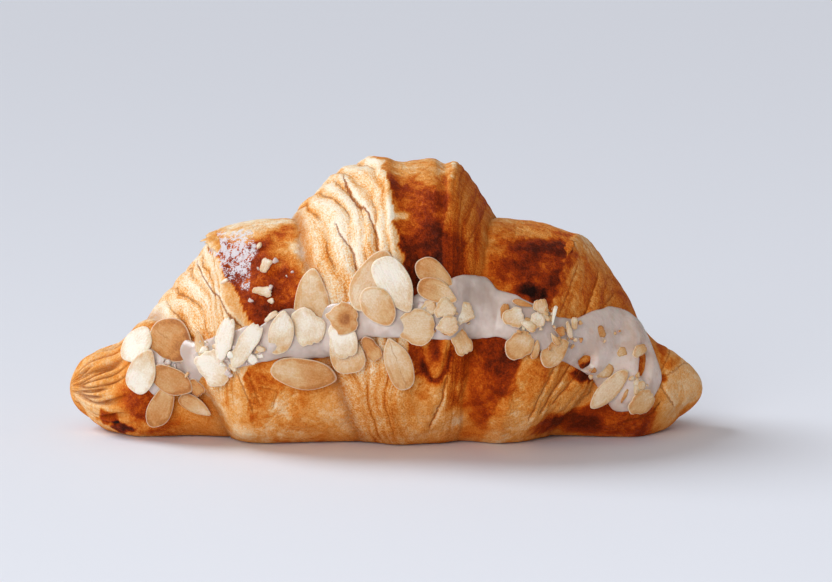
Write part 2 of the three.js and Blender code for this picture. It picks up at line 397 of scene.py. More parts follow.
def closeTube(points, marks, poles=None):
    # the points of a tube's rings in one list, then a pole for each end, in the middle of its ring unless
    # given; a pole has its ring's average marks
    if poles is None:
        poles = np.stack([points[0].mean(0), points[-1].mean(0)])
    listed = {name: np.append(values.ravel(), [values[0].mean(), values[-1].mean()])
              for name, values in marks.items()}
    return np.concatenate([points.reshape(-1, 3), poles]), listed


def tubeFaces(rings, sides):
    # four-cornered faces between rings that run round a tube, and a fan on the pole at each end
    index = np.arange(rings * sides).reshape(rings, sides)
    beside = np.roll(index, -1, axis=1)
    quads = np.stack([index[:-1], index[1:], beside[1:], beside[:-1]], -1).reshape(-1, 4)
    start = np.stack([np.full(sides, rings * sides), index[0], beside[0]], -1)
    end = np.stack([index[-1], np.full(sides, rings * sides + 1), beside[-1]], -1)
    return quads.tolist() + start.tolist() + end.tolist()


def tubeCorners(layout):
    # the layout of a tube's points, one column more than it has sides, for the corners of tubeFaces
    quads = np.stack([layout[:-1, :-1], layout[1:, :-1], layout[1:, 1:], layout[:-1, 1:]], -2).reshape(-1, 2)
    start = np.stack([layout[0, :-1], layout[0, :-1], layout[0, 1:]], -2).reshape(-1, 2)
    end = np.stack([layout[-1, :-1], layout[-1, :-1], layout[-1, 1:]], -2).reshape(-1, 2)
    return np.concatenate([quads, start, end])


# the crust

baking = dict(
    edge=0.14,  # browning of the cut edges
    edgeRight=0.35,  # how much browner those on the right are, partly browning and partly painted shade of the side turned from the light
    edgeEnds=0.5,  # and how much less of that the ends have
    edgeLow=0.2,  # how much browner those on the left are near the floor
    edgeLowTo=(6, 46),  # heights between which that ends
    edgeFoot=0.08,  # and all of them towards their foot
    edgeFootFrom=0.4,
    layerVaries=0.05,
    face=0.5,  # browning where a washed turn comes out from under the next
    faceEnd=0.2,  # how much browner it is where it ends
    faceEndFrom=0.4,
    top=0.2,  # painted sheen: how much paler the washed turns are along the top
    topHalf=0.4,
    under=0.5,  # browning underneath
    underFrom=(0.75, 0.95),  # cosines of the angle between which that begins
    belly=0.3,  # what all of it tends to near the floor, apart from the ends
    bellyShare=0.8,
    floorward=(8, 26),  # heights between which nearness to the floor ends
    # turns over which the wash fades in, how many more near the floor and where it is drawn back
    washFade=(0.08, 0.3, 0.6),
    washOver=(0.14, 0.34, 36, 46),  # on the right it runs over the edge: turns, turns further out, from, to
    # where it is drawn back on the left shoulder, and by how many turns
    drawnBack=dict(across=-40, half=12, below=(50, 33), above=(20, 28), turns=0.2),
    crease=0.6,  # painted shade: how dark the foot of a cut edge is
    groove=0.8,  # and how dark the painted shade of the grooves between the pleats is
    # patches of the front: across, up, half width, half height, how much darker
    patches=[
        # left end
        (-78, 17, 6, 6, 0.03), (-72, 22, 9, 9, -0.06), (-79, 7, 7, 7, -0.08), (-73.5, 5.4, 2.4, 2.2, 0.5),
        (-69.5, 2.6, 3.4, 1.6, 0.6), (-64, 11, 5, 5.5, 0.3), (-54, 6, 12, 6, 0.14), (-60, 31, 6, 5, -0.16),
        # left shoulder
        (-31, 41, 10, 10, 0.08), (-25, 51, 5, 4.5, -0.16), (-29, 34.5, 7, 5, 0.13),
        (-39, 57.5, 12, 4.5, -0.36),
        # left of the belly
        (-43.5, 15, 3, 3.5, -0.08), (-40, 10, 3, 4, -0.1), (-37, 5, 3, 3.5, -0.08), (-37, 13.5, 5, 7, 0.1),
        (-36, 16, 6, 8, 0.06), (-31, 19, 9, 9, -0.14),
        # layers of the middle, above and below the icing
        (-14, 45, 6, 8, 0.04), (-9, 60, 8, 8, -0.05), (-1, 69, 4, 5, 0.12), (-2, 10, 7, 7, 0.05),
        (3, 20, 6, 12, 0.06), (7.5, 26, 2.4, 8, 0.12),
        # the turn that ends in the dough's point, from its top down
        (8, 71.5, 13, 2.8, -0.2), (1.8, 64, 1.2, 3, -0.16), (4.8, 61, 3.2, 0.9, -0.34),
        (12, 50.5, 8, 8, 0.3), (17, 15, 1.6, 4, 0.16), (19.8, 17, 2, 3, -0.1), (19.5, 9, 3, 3, -0.12),
        # right shoulder and the slope beside it
        (22, 60, 5, 8, 0.05), (24.5, 50, 5, 7, 0.1), (29, 47, 5, 8, -0.13), (37, 47, 10, 6, 0.17),
        (38, 52, 8, 1.4, 0.12), (38, 56.5, 13, 3.6, -0.16), (42, 48, 3.5, 2.5, -0.12),
        (46, 49.5, 2.2, 3, 0.1), (46.5, 44, 4, 5, 0.1), (50, 46, 3.5, 6, -0.04), (54, 41, 4, 6, 0.06),
        (36.2, 42.2, 1.7, 1.3, 0.36), (39.2, 40.9, 2, 1.5, 0.4),
        # low on the right
        (25, 19, 8, 13, 0.19), (23.5, 7, 4, 6, 0.14), (40, 14, 7, 8, 0.04), (47, 4.5, 9, 3.6, 0.25),
        (51.3, 19.6, 2.8, 2.4, 0.55), (58, 5, 13, 7, 0.34),
        # right end
        (78, 13, 8, 9, -0.05), (73.4, 23.4, 1.4, 4, 0.22), (71.8, 16, 2.6, 1.6, 0.34),
        (75, 18.6, 3, 1.3, 0.14)],
    patchCrisp=0.3,
    patchSmall=3.2,  # half size below which a patch has the finer outline
    # icing sugar on the left shoulder, in the same way
    sugar=[(-40, 51.5, 6, 2.6, 0.8), (-43, 50, 2.2, 4.4, 0.5), (-39.2, 47.5, 2.2, 6, 0.6),
           (-35.4, 47, 1.8, 7, 0.6)],
    sugarCrisp=0.8,
    # cracks of the front: across and up at either end, how deep, which also sets how dark the painted shade
    # in it is, how strong the painted highlight on one side of it is
    cracks=[
        # between the layers of the middle and of the left slope
        (-10.4, 67, -4.6, 61.5, 1, 1), (-4.6, 61.5, -1.8, 56.3, 1, 1), (-1.8, 56.3, -1, 50, 0.8, 1),
        (-12, 58.2, -8.4, 53, 0.9, 0.5), (-8.4, 53, -5.6, 47, 0.9, 0.5), (-49, 45.2, -36.7, 33.4, 0.9, 0.6),
        # below the dough's point
        (15.6, 20.5, 14.6, 14.5, 0.9, 0.6), (14.6, 14.5, 11.7, 7, 0.9, 0.6),
        # left of the belly
        (-37.8, 21.5, -34, 11, 0.6, 0.3), (-34.6, 21, -32.6, 13.5, 0.5, 0.3), (-31, 17, -27.5, 16, 0.4, 0.4),
        (-27.5, 16, -28.5, 12.5, 0.4, 0.4),
        # right shoulder and the slope beside it
        (26, 60, 19.7, 52.4, 0.45, 0.3), (24, 64, 20.8, 58.8, 0.4, 0.3), (33.5, 52.6, 38.8, 53.3, 0.5, 0.2),
        (38.8, 53.3, 49.4, 51.4, 0.5, 0.2), (55.2, 42, 51, 33.6, 0.75, 0.3),
        (59.5, 37.5, 52.6, 32.2, 0.6, 0.3), (49.3, 44.6, 44.9, 36.1, 0.6, 0.3),
        # low on the right
        (49, 24.9, 39.8, 10, 0.85, 0.4), (45.2, 26.3, 36.7, 8.2, 0.75, 0.4),
        (51.3, 21.6, 42.9, 12, 0.75, 0.3), (36.1, 27, 27.7, 10.8, 0.3, 0),
        # right end
        (63, 5, 70, 7, 1, 0), (70, 7, 72, 9.5, 1, 0), (63.5, 5, 64, 9, 0.7, 0),
        (72, 16.5, 80, 17.6, 0.5, 0.3), (72, 15.2, 76, 8.5, 0.6, 0.4), (72.4, 17.8, 76.4, 22.5, 0.5, 0.3)],
    crackFade=(0.9, 1.7),  # distances over which a crack's marks end
    crackFar=9.0,  # distance that counts as none near
    crackDepth=0.4,
    crackHalf=0.7,
    # borders of browner places: across and up at either end, how far they reach, how much darker the brown
    # side is at the border, how much paler the other
    borders=[(35, 53.4, 40.8, 53.2, 5, 0.06, 0.01), (40.8, 53.2, 49.8, 49.8, 5, 0.06, 0.01),
             (48.5, 45.5, 42.9, 39.2, 5, 0.07, 0.06), (55.2, 42, 51, 33.6, 4, 0.06, 0.08),
             (36.5, 27.6, 27.3, 10, 8, 0.1, 0.06), (40.5, 6.4, 57, 11.3, 7, 0.16, 0.05)],
    borderCrisp=0.4,
    # rounded folds of the front: across and up at either end, half width, how high
    folds=[(-46, 19, -35, 2, 3.2, 2.1), (13.4, 20, 9.6, 6, 2.6, 0.8), (29, 40, 24, 52, 1.6, 0.5),
           (74, 20, 81, 20, 2, 0.5), (74, 13, 80, 10, 2.2, 0.5)],
)
# the pointed end of the dough that lies on the front
leaf = dict(
    middle=12.8,
    low=21,  # where it ends in a point
    wide=32,  # where it is widest
    hidden=(38, 42),  # where it runs in under the icing and becomes part of the turn
    upTo=2,  # angle past which there is none of it
    half=3.8,  # half its width there
    rim=(-0.3, 0.4),  # distances over which it ends
    raised=0.7,
    bake=0.44,
    core=0.52,  # how much darker it is along its middle
    coreHalf=1.9,
    coreFrom=(23, 26.5),
    gap=0.42,  # and how much darker the crust is round its point: painted shade of the gap under its edge
    gapAway=1.1,
    gapHalf=0.9,
    gapTo=(24, 29),
    gapSlant=0.5,
    gapDepth=0.35,
)
layering = dict(
    count=6,  # layers on a cut edge
    stair=0.6,  # how much of a stair they are, rather than a slope
    tread=0.55,  # share of a layer before it drops
    treadVaries=0.2,
    bulge=0.6,  # how far each layer swells
    bulgeVaries=0.5,
    bulgeForm=(1.3, 0.7, 0.4),  # powers: how low it is fullest, how full, how soon it ends at lip and foot
    slant=1.2,  # how far the layers run askew, in layers
    slantOver=1.2,  # and over which angle either side of the top
    slantLeft=(0.3, -45, -25),  # how much of it the left slope has, up to where and from where on all of it
    uneven=(0.17, 2.1, 2),  # how unlike the layers' widths are, step from turn to turn and to the other side
    tone=(3.7, 17, 0.5, 40, 0.9),  # steps of the layers' tone: layer, turn, start, other side, angle
    toneSeed=31,
    calm=0.42,  # how strong the layers on the right are against those on the left
    smooth=(0.2, 0.95, -40, 10),  # how far the floor smooths them, and on the fold, its place and half width
    fade=0.3,  # power with which the layers' finish ends at lip and foot
    plain=(62, 74),  # between which places the pinched ends lose their layers
    lip=0.45,  # flare of the crust where a turn ends
    lipFrom=0.86,
    lipTo=0.05,
    lipLow=0.8,  # how much less it is near the floor
    lipRight=0.3,
    soft=0.06,  # how rounded the ends on the right are, in turns
    softLeft=0.05,  # how much of that those on the left have
    foot=0.55,  # depth of the crease at the foot of a cut edge
    footHalf=0.035,
    footRight=0.5,
    tucked=dict(across=78, half=5.5, angle=0.65, halfAngle=0.5, inward=2.6),  # under the right end
    aboveFloor=(1, 6),  # heights between which the relief comes in
    back=(3.0, 3.6),  # angles between which the back begins
    front=(0.1, 0.4, 3.2, 3.5),  # angles between which the front begins, and ends
    seam=(0.3, 0.6),  # angles either side of the seam underneath between which the edges start to wander
    layout=(10, 4, 0.05),  # steps of the layout: turn, angle, across
    stations=430,
    sides=229,
    endSpacing=0.35,  # how much closer the stations lie towards the ends
    backSpacing=(0.6, 3.3, 3.9),  # how many points the back has against the front, between which angles
    underSpacing=(0.3, 0.72, 0.9),  # and the underside, between which cosines
)
# folds that run to the left end
pleating = dict(
    depth=1.4,
    grooveDepth=1.2,
    around=7.5,  # how many there are
    long=14,
    wave=(1, 1, 131, 2),  # noise: strength, size, seed, how many sizes
    form=0.6,  # how rounded
    groove=0.2,  # how wide the grooves are
    start=(64, 74),
    tip=(0.6, 79, 85),  # how much they flatten towards the tip, between which places
)
# strength, size, seed, how many sizes
crustNoise = dict(
    edge=(0.02, 7, 11, 3),  # how far the cut edges wander, in turns
    patch=(0.3, 6, 15, 4),
    smallPatch=(0.45, 2.2, 19, 3),
    layers=(0.5, 22, 21, 2),
    lip=(0.5, 9, 51, 2),
    lumps=(0.32, 9, 61, 3),
    pimples=(0.1, 2.2, 71, 2),
    line=(0.5, 8, 81, 3),  # how far cracks and borders stray
    face=(0.06, 8, 91, 3),
    wash=(0.035, 4, 95, 3),
    backFace=(0.14, 22, 97, 2),
    backLow=(8, 16, 98, 2),
    leaf=(0.3, 2.5, 161, 2),
)


def crustAngles(sides):
    # angles round the roll, spaced wider at the back, and wider still underneath, where it lies flat
    fine = np.linspace(0, tau, 2000)
    back, backFrom, backTo = layering["backSpacing"]
    under, underFrom, underTo = layering["underSpacing"]
    weight = between(1, back, ease(backFrom, backTo, fine))
    weight = weight * between(1, under, ease(underFrom, underTo, np.cos(fine)))
    run = np.concatenate([[0], np.cumsum((weight[1:] + weight[:-1]) / 2)])
    return np.interp(np.linspace(0, 1, sides + 1), run / run[-1], fine)


def onFront(points, angle, rows, crisp):
    # ovals on the front with a wavering outline, finer round small ones, added together; crisp is the share
    # of an oval's radius over which it fades
    start, full, end, over = layering["front"]
    broad = cloud(points, crustNoise["patch"])
    close = cloud(points, crustNoise["smallPatch"])
    total = 0
    for across, up, wide, high, amount in rows:
        waver = broad if min(wide, high) > baking["patchSmall"] else close
        away = np.hypot((points[..., 0] - across) / wide, (points[..., 2] - up) / high) + waver
        total = total + amount * (1 - ease(1 - crisp, 1 + crisp, away))
    return total * ease(start, full, angle) * (1 - ease(end, over, angle))


def fromLine(points, angle, row, far=30):
    # distance on the front from a straight run between two places, and on which side of it; the back counts
    # as far away
    fromX, fromZ, toX, toZ = row[:4]
    along = np.array([toX - fromX, toZ - fromZ])
    long = np.hypot(*along)
    away = points[..., [0, 2]] - (fromX, fromZ)
    run = np.clip(away @ along / long ** 2, 0, 1)
    beside = away - run[..., None] * along
    side = (away[..., 0] * along[1] - away[..., 1] * along[0]) / long
    return np.hypot(beside[..., 0], beside[..., 1]) + far * (angle > math.pi), side


def strayed(points):
    # points moved by noise, so that lines measured on them waver
    return points + cloud(points, crustNoise["line"])[..., None]


def nearestCrack(points, angle):
    # distance from the nearest crack, below nought on one side of it, how deep it is, which also sets the
    # painted shade in it, and how strong the painted highlight beside it is, both fading out away from it
    moved = strayed(points)
    nearest = np.full(angle.shape, baking["crackFar"])
    off, depth, pale = nearest, 0 * angle, 0 * angle
    for row in baking["cracks"]:
        apart, side = fromLine(moved, angle, row)
        nearer = apart < nearest
        close = 1 - ease(*baking["crackFade"], apart)
        off = np.where(nearer, np.copysign(apart, side), off)
        depth = np.where(nearer, row[4] * close, depth)
        pale = np.where(nearer, row[5] * close, pale)
        nearest = np.minimum(nearest, apart)
    return dict(crackOff=off, crackDepth=depth, crackPale=pale)


def besideBorders(points, angle):
    # darker on one side of each border and paler on the other, fading out away from it and changing on it
    moved = strayed(points)
    crisp = baking["borderCrisp"]
    total = 0
    for row in baking["borders"]:
        reach, darker, paler = row[4:]
        apart, side = fromLine(moved, angle, row)
        total = total + (1 - ease(0, reach, apart)) * between(-paler, darker, ease(-crisp, crisp, side))
    return total


def pointedEnd(points, angle):
    # half its width grows with the root of the height above its point. Gives the leaf, its dark middle and
    # the gap round its point, which is darkened as painted shade
    x, up = points[..., 0] - leaf["middle"], points[..., 2]
    share = np.clip((up - leaf["low"]) / (leaf["wide"] - leaf["low"]), 0, 1)
    beyond = np.abs(x) - leaf["half"] * np.sqrt(share)
    fromPoint = np.hypot(x, up - leaf["low"])
    beyond = np.where(up < leaf["low"], fromPoint, beyond) + cloud(points, crustNoise["leaf"])
    shown = (1 - ease(*leaf["hidden"], up)) * (angle < leaf["upTo"])
    inside = (1 - ease(*leaf["rim"], beyond)) * shown
    core = bump(x, 0, leaf["coreHalf"]) * ease(*leaf["coreFrom"], up) * inside
    gap = bump(beyond, leaf["gapAway"], leaf["gapHalf"]) * shown
    gap = gap * (1 - ease(*leaf["gapTo"], up - leaf["gapSlant"] * x))
    return SimpleNamespace(inside=inside, core=core, gap=gap)


def raggedTurns(x, angle):
    # the spiral with its cut edges wandering a little, except on the seam underneath
    turns, cut = spiral(x, angle)
    clear = ease(*layering["seam"], angle % tau) * ease(*layering["seam"], tau - angle % tau)
    return turns + cloud(crust(x, angle), crustNoise["edge"]) * clear, cut


def pleats(x, angle):
    # noise round the roll, drawn out along it, sharp where it crosses nought: the pleats and their grooves
    around = pleating["around"]
    key = np.stack([around * np.cos(angle), around * np.sin(angle), x / pleating["long"]], -1)
    wave = cloud(key, pleating["wave"])
    flatter, tipFrom, tipTo = pleating["tip"]
    pinched = ease(*pleating["start"], -x) * (1 - flatter * ease(tipFrom, tipTo, -x))
    return pinched * (np.abs(wave) ** pleating["form"] - 0.5), pinched * bump(wave, 0, pleating["groove"])


def foldedDough(x, angle):
    # where a place lies in the roll: its turn, how far past the last cut edge, how near the back, the floor
    # and the pinched ends, each from 0 to 1, and how full the steps are
    plain = crust(x, angle)
    turns, cut = raggedTurns(x, angle)
    behind = ease(*layering["back"], angle)
    up = plain[..., 2]
    floorward = 1 - ease(*baking["floorward"], up + behind * cloud(plain, crustNoise["backLow"]))
    return SimpleNamespace(x=x, angle=angle, plain=plain, up=up, turns=turns, cut=cut, past=turns % 1,
                           turn=np.floor(turns), onLeft=x < roll["pointX"], onEdge=turns % 1 < cut,
                           behind=behind, floorward=floorward, ends=ease(*layering["plain"], np.abs(x)),
                           formed=stepSize(x))


def layerStair(at):
    # the way down each cut edge times the count of layers, slanted and uneven, split into whole layers and
    # the place within one; a layer runs level, then drops, and swells in between
    soft = layering["soft"] * np.where(at.onLeft, between(layering["softLeft"], 1, at.floorward), 1)
    down = downEdge(np.hypot(at.past, soft) - soft, at.cut, at.angle)
    swing = np.sin(math.pi * down)
    least, leftTo, rightFrom = layering["slantLeft"]
    slant = layering["slant"] * np.clip((math.pi - at.angle) / layering["slantOver"], -1, 1)
    slant = slant * between(least, 1, ease(leftTo, rightFrom, at.x))
    otherSide = np.where(at.onLeft, 0, 1)
    share, turnStep, sideStep = layering["uneven"]
    uneven = share * np.sin(2 * tau * down + turnStep * at.turn + sideStep * otherSide)
    count = layering["count"]
    level = down * count + (slant + cloud(at.plain, crustNoise["layers"]) + uneven) * swing
    level = np.clip(level, 0, count - 1e-6)
    layer = np.floor(level)
    within = level - layer
    layerStep, turnStep, start, sideStep, angleStep = layering["tone"]
    key = [layer * layerStep + at.turn * turnStep + start, sideStep * otherSide, angleStep * at.angle]
    tone = grain(np.stack(key, -1), layering["toneSeed"])
    smooth, smoothFold, fold, foldHalf = layering["smooth"]
    strong = 1 - at.floorward * between(smooth, smoothFold, bump(at.x, fold, foldHalf))
    strong = strong * np.where(at.onLeft, 1, layering["calm"]) * (1 - at.ends)
    tread = layering["tread"] + layering["treadVaries"] * tone
    drop = between(within, ease(tread, 1, within), layering["stair"] * strong)
    lowest, fullness, ending = layering["bulgeForm"]
    skewed = within ** lowest
    bulge = (4 * skewed * (1 - skewed)) ** fullness * swing ** ending
    swell = layering["bulge"] * bulge * strong * (1 + layering["bulgeVaries"] * tone)
    return SimpleNamespace(down=down, swing=swing, level=level, tone=tone, strong=strong,
                           height=turnHeight(at.past, at.cut, (layer + drop) / count),
                           swell=np.where(at.onEdge, swell, 0))


def crustRelief(at, stair, tip, cracks):
    # added to the steps: lips flared above the cut edges, creases at their feet, swelling layers, lumps, the
    # tuck under the right end, pleats, folds, the pointed end and cracks. Second: how dark the painted shade
    # of creases and grooves is
    rising = ease(layering["lipFrom"], 1, at.past)
    flare = np.where(at.past > 0.5, rising, 1 - ease(0, layering["lipTo"], at.past))
    flare = flare * np.where(at.onLeft, 1 - layering["lipLow"] * at.floorward, layering["lipRight"])
    flare = flare * (1 + cloud(at.plain, crustNoise["lip"])) * at.formed * (1 - at.ends)
    foot = bump(at.past, at.cut, layering["footHalf"]) * at.formed
    foot = foot * np.where(at.onLeft, 1, layering["footRight"])
    relief = layering["lip"] * flare - layering["foot"] * foot + stair.swell
    relief = relief + cloud(at.plain, crustNoise["lumps"]) + cloud(at.plain, crustNoise["pimples"])
    tuck = layering["tucked"]
    tucked = bump(at.x, tuck["across"], tuck["half"]) * bump(at.angle, tuck["angle"], tuck["halfAngle"])
    pleat, groove = pleats(at.x, at.angle)
    relief = relief - tuck["inward"] * tucked + pleating["depth"] * pleat - pleating["grooveDepth"] * groove
    for row in baking["folds"]:
        half, high = row[4:]
        relief = relief + high * bump(fromLine(at.plain, at.angle, row)[0], 0, half)
    relief = relief + leaf["raised"] * tip.inside - leaf["gapDepth"] * tip.gap
    cut = bump(cracks["crackOff"], 0, baking["crackHalf"])
    relief = relief - baking["crackDepth"] * cracks["crackDepth"] * cut
    # painted shade in the creases at the foot of the cut edges and in the pleats' grooves
    crease = np.maximum(baking["crease"] * foot * (1 - at.ends), baking["groove"] * groove)
    return relief * ease(*layering["aboveFloor"], at.up), crease


def eggWash(at):
    # how fully a place was washed: it fades in past the cut edge, slowly near the floor, and on the right it
    # runs over the edge. It doesn't end just where the dough does. Second: how far along its washed part a
    # turn has come
    back = baking["drawnBack"]
    drawn = back["turns"] * bump(at.x, back["across"], back["half"])
    drawn = drawn * ease(*back["below"], at.up) * ease(*back["above"], at.up)
    stained = (at.turns + drawn * (at.angle < math.pi) + cloud(at.plain, crustNoise["wash"])) % 1
    fade, fadeLow, fadeDrawn = baking["washFade"]
    washed = ease(0, fade + fadeLow * at.floorward + fadeDrawn * drawn, stained - at.cut)
    over, overFurther, overFrom, overTo = baking["washOver"]
    runsOver = 1 - ease(0, between(over, overFurther, ease(overFrom, overTo, at.x)), stained)
    washed = np.maximum(washed, np.where(at.onLeft, 0, runsOver)) * (1 - at.ends)
    return washed, np.clip((stained - at.cut) / (1 - at.cut), 0, 1)


def browning(at, stair, tip, washed, turned):
    # washed turns get browner towards their end and are paler along the top, which is painted sheen; cut
    # edges are paler, but browner on the right, partly as painted shade of that side, low on the left and at
    # their foot. Both tend to the belly's browning near the floor. Patches and borders are added and the
    # pointed end laid over, with painted shade in the gap round its point
    face = baking["face"] + baking["faceEnd"] * ease(0, baking["faceEndFrom"], turned)
    # paler along the top: painted sheen
    face = face - baking["top"] * bump(at.angle, math.pi, baking["topHalf"])
    face = face + cloud(at.plain, crustNoise["face"]) + at.behind * cloud(at.plain, crustNoise["backFace"])
    # browner on the right, partly painted shade of the side turned from the light
    onRight = baking["edgeRight"] * (1 - baking["edgeEnds"] * at.ends)
    low = baking["edgeLow"] * (1 - ease(*baking["edgeLowTo"], at.up))
    edge = baking["edge"] + np.where(at.onLeft, low, onRight)
    edge = edge + baking["layerVaries"] * stair.tone
    edge = edge + baking["edgeFoot"] * ease(baking["edgeFootFrom"], 1, stair.down)
    bake = between(edge, face, washed)
    bake = between(bake, baking["belly"], baking["bellyShare"] * at.floorward * (1 - at.ends))
    bake = bake + onFront(at.plain, at.angle, baking["patches"], baking["patchCrisp"])
    bake = bake + besideBorders(at.plain, at.angle)
    # painted shade in the gap round the leaf's point
    bake = between(bake, leaf["bake"], tip.inside) + leaf["core"] * tip.core + leaf["gap"] * tip.gap
    return between(bake, baking["under"], ease(*baking["underFrom"], np.cos(at.angle)))


def crustSurface(x, angle):
    # the roll with the stair of layers and the relief. Gives the points, what the finish needs at each of
    # them, and the layout, which counts layers one way and runs round the roll the other
    at = foldedDough(x, angle)
    stair = layerStair(at)
    tip = pointedEnd(at.plain, angle)
    marks = nearestCrack(at.plain, angle)
    relief, marks["crease"] = crustRelief(at, stair, tip, marks)
    washed, turned = eggWash(at)
    marks["washed"] = washed
    marks["bake"] = browning(at, stair, tip, washed, turned)
    marks["sugar"] = np.minimum(1, onFront(at.plain, angle, baking["sugar"], baking["sugarCrisp"]))
    marks["layered"] = (1 - washed) * stair.strong * np.where(at.onEdge, stair.swing ** layering["fade"], 0)
    turnStep, angleStep, acrossStep = layering["layout"]
    layout = np.stack([stair.level + turnStep * at.turn, angleStep * angle + acrossStep * x], -1)
    return crust(x, angle, 1, stair.height, relief), marks, layout


crustLook = dict(
    # browning and its colour
    stops=[(0.0, "fff0d8"), (0.13, "fad5a4"), (0.27, "efa554"), (0.4, "dc7c26"), (0.51, "c2540c"),
           (0.62, "9c3504"), (0.72, "802804"), (0.8, "5e1c04"), (1.0, "200801")],
    stopScale=0.8,
    # noise: scale for a metre, detail, roughness, and the values that become 0 and 1
    mottle=(150.0, 8.0, 0.68, 0.36, 0.64),
    blotch=(340.0, 4.0, 0.65, 0.36, 0.64),
    flecks=(620.0, 4.0, 0.7, 0.36, 0.64),
    speckle=(2300.0, 2.0, 0.6, 0.34, 0.66),
    # on the layout: steps across the layers and along them, then noise
    stain=(1.1, 0.3, (1.3, 4.0, 0.65, 0.47, 0.68)),
    threads=(13.0, 1.3, (1.0, 3.0, 0.55, 0.35, 0.65)),
    gaps=(7.3, 0.35, (1.0, 2.0, 0.55)),
    lineWaver=0.06,  # how far the lines between layers waver, in layers
    line=(0.01, 0.055),  # painted shade in the gaps between layers: from their middle to their side
    lineShown=(0.43, 0.54),  # how much of the gaps have a line
    # softer painted shade beside those lines
    flank=(0.04, 0.26),
    flankShown=(0.36, 0.6),
    # painted highlight on the crest of each layer
    crest=(0.15, 0.45),
    # how much each browns, with the flank's painted shade and the paler painted highlights of the crest and
    # beside a crack; a second number counts where the crust is washed, speckle's where it is layered
    browns=dict(stain=0.19, flank=0.18, crest=0.07, mottle=(0.09, 0.12), blotch=(0.0, 0.09),
                flecks=(0.06, 0.06), speckle=(0.1, 0.14), threads=0.1, besideCrack=0.2),
    crackWaver=0.3,
    crack=(0.1, 0.36),  # painted shade in a crack: from its middle to its side
    besideCrack=(0.25, 0.5, 0.8, 1.4),  # where the painted highlight beside it begins and ends
    # painted shade of cracks, creases, grooves and lines between layers: how strong it is in the lines, how
    # strong in all, and its colour
    lineDark=0.65,
    dark=0.8,
    darkColour="943c06",
    sugarStrokes=dict(turned=(0.0, 0.35, 0.0), scale=(700.0, 500.0, 200.0), noise=(1.0, 3.0, 0.6)),
    sugarShown=(0.55, 3.0, 0.5),  # share, and how much strokes and speckle count
    sugarEdge=(0.28, 0.55),
    sugarCover=0.85,
    sugarColour="ebe7ea",
    rough=0.66,
    roughFlecks=0.12,
    glossWashed=0.2,
    roughSugar=0.2,
    # height of each
    heights=dict(speckle=0.35, flecks=0.5, mottle=0.5, threads=0.4, line=1.4),
    bump=(0.6, 0.7),  # strength, distance
)


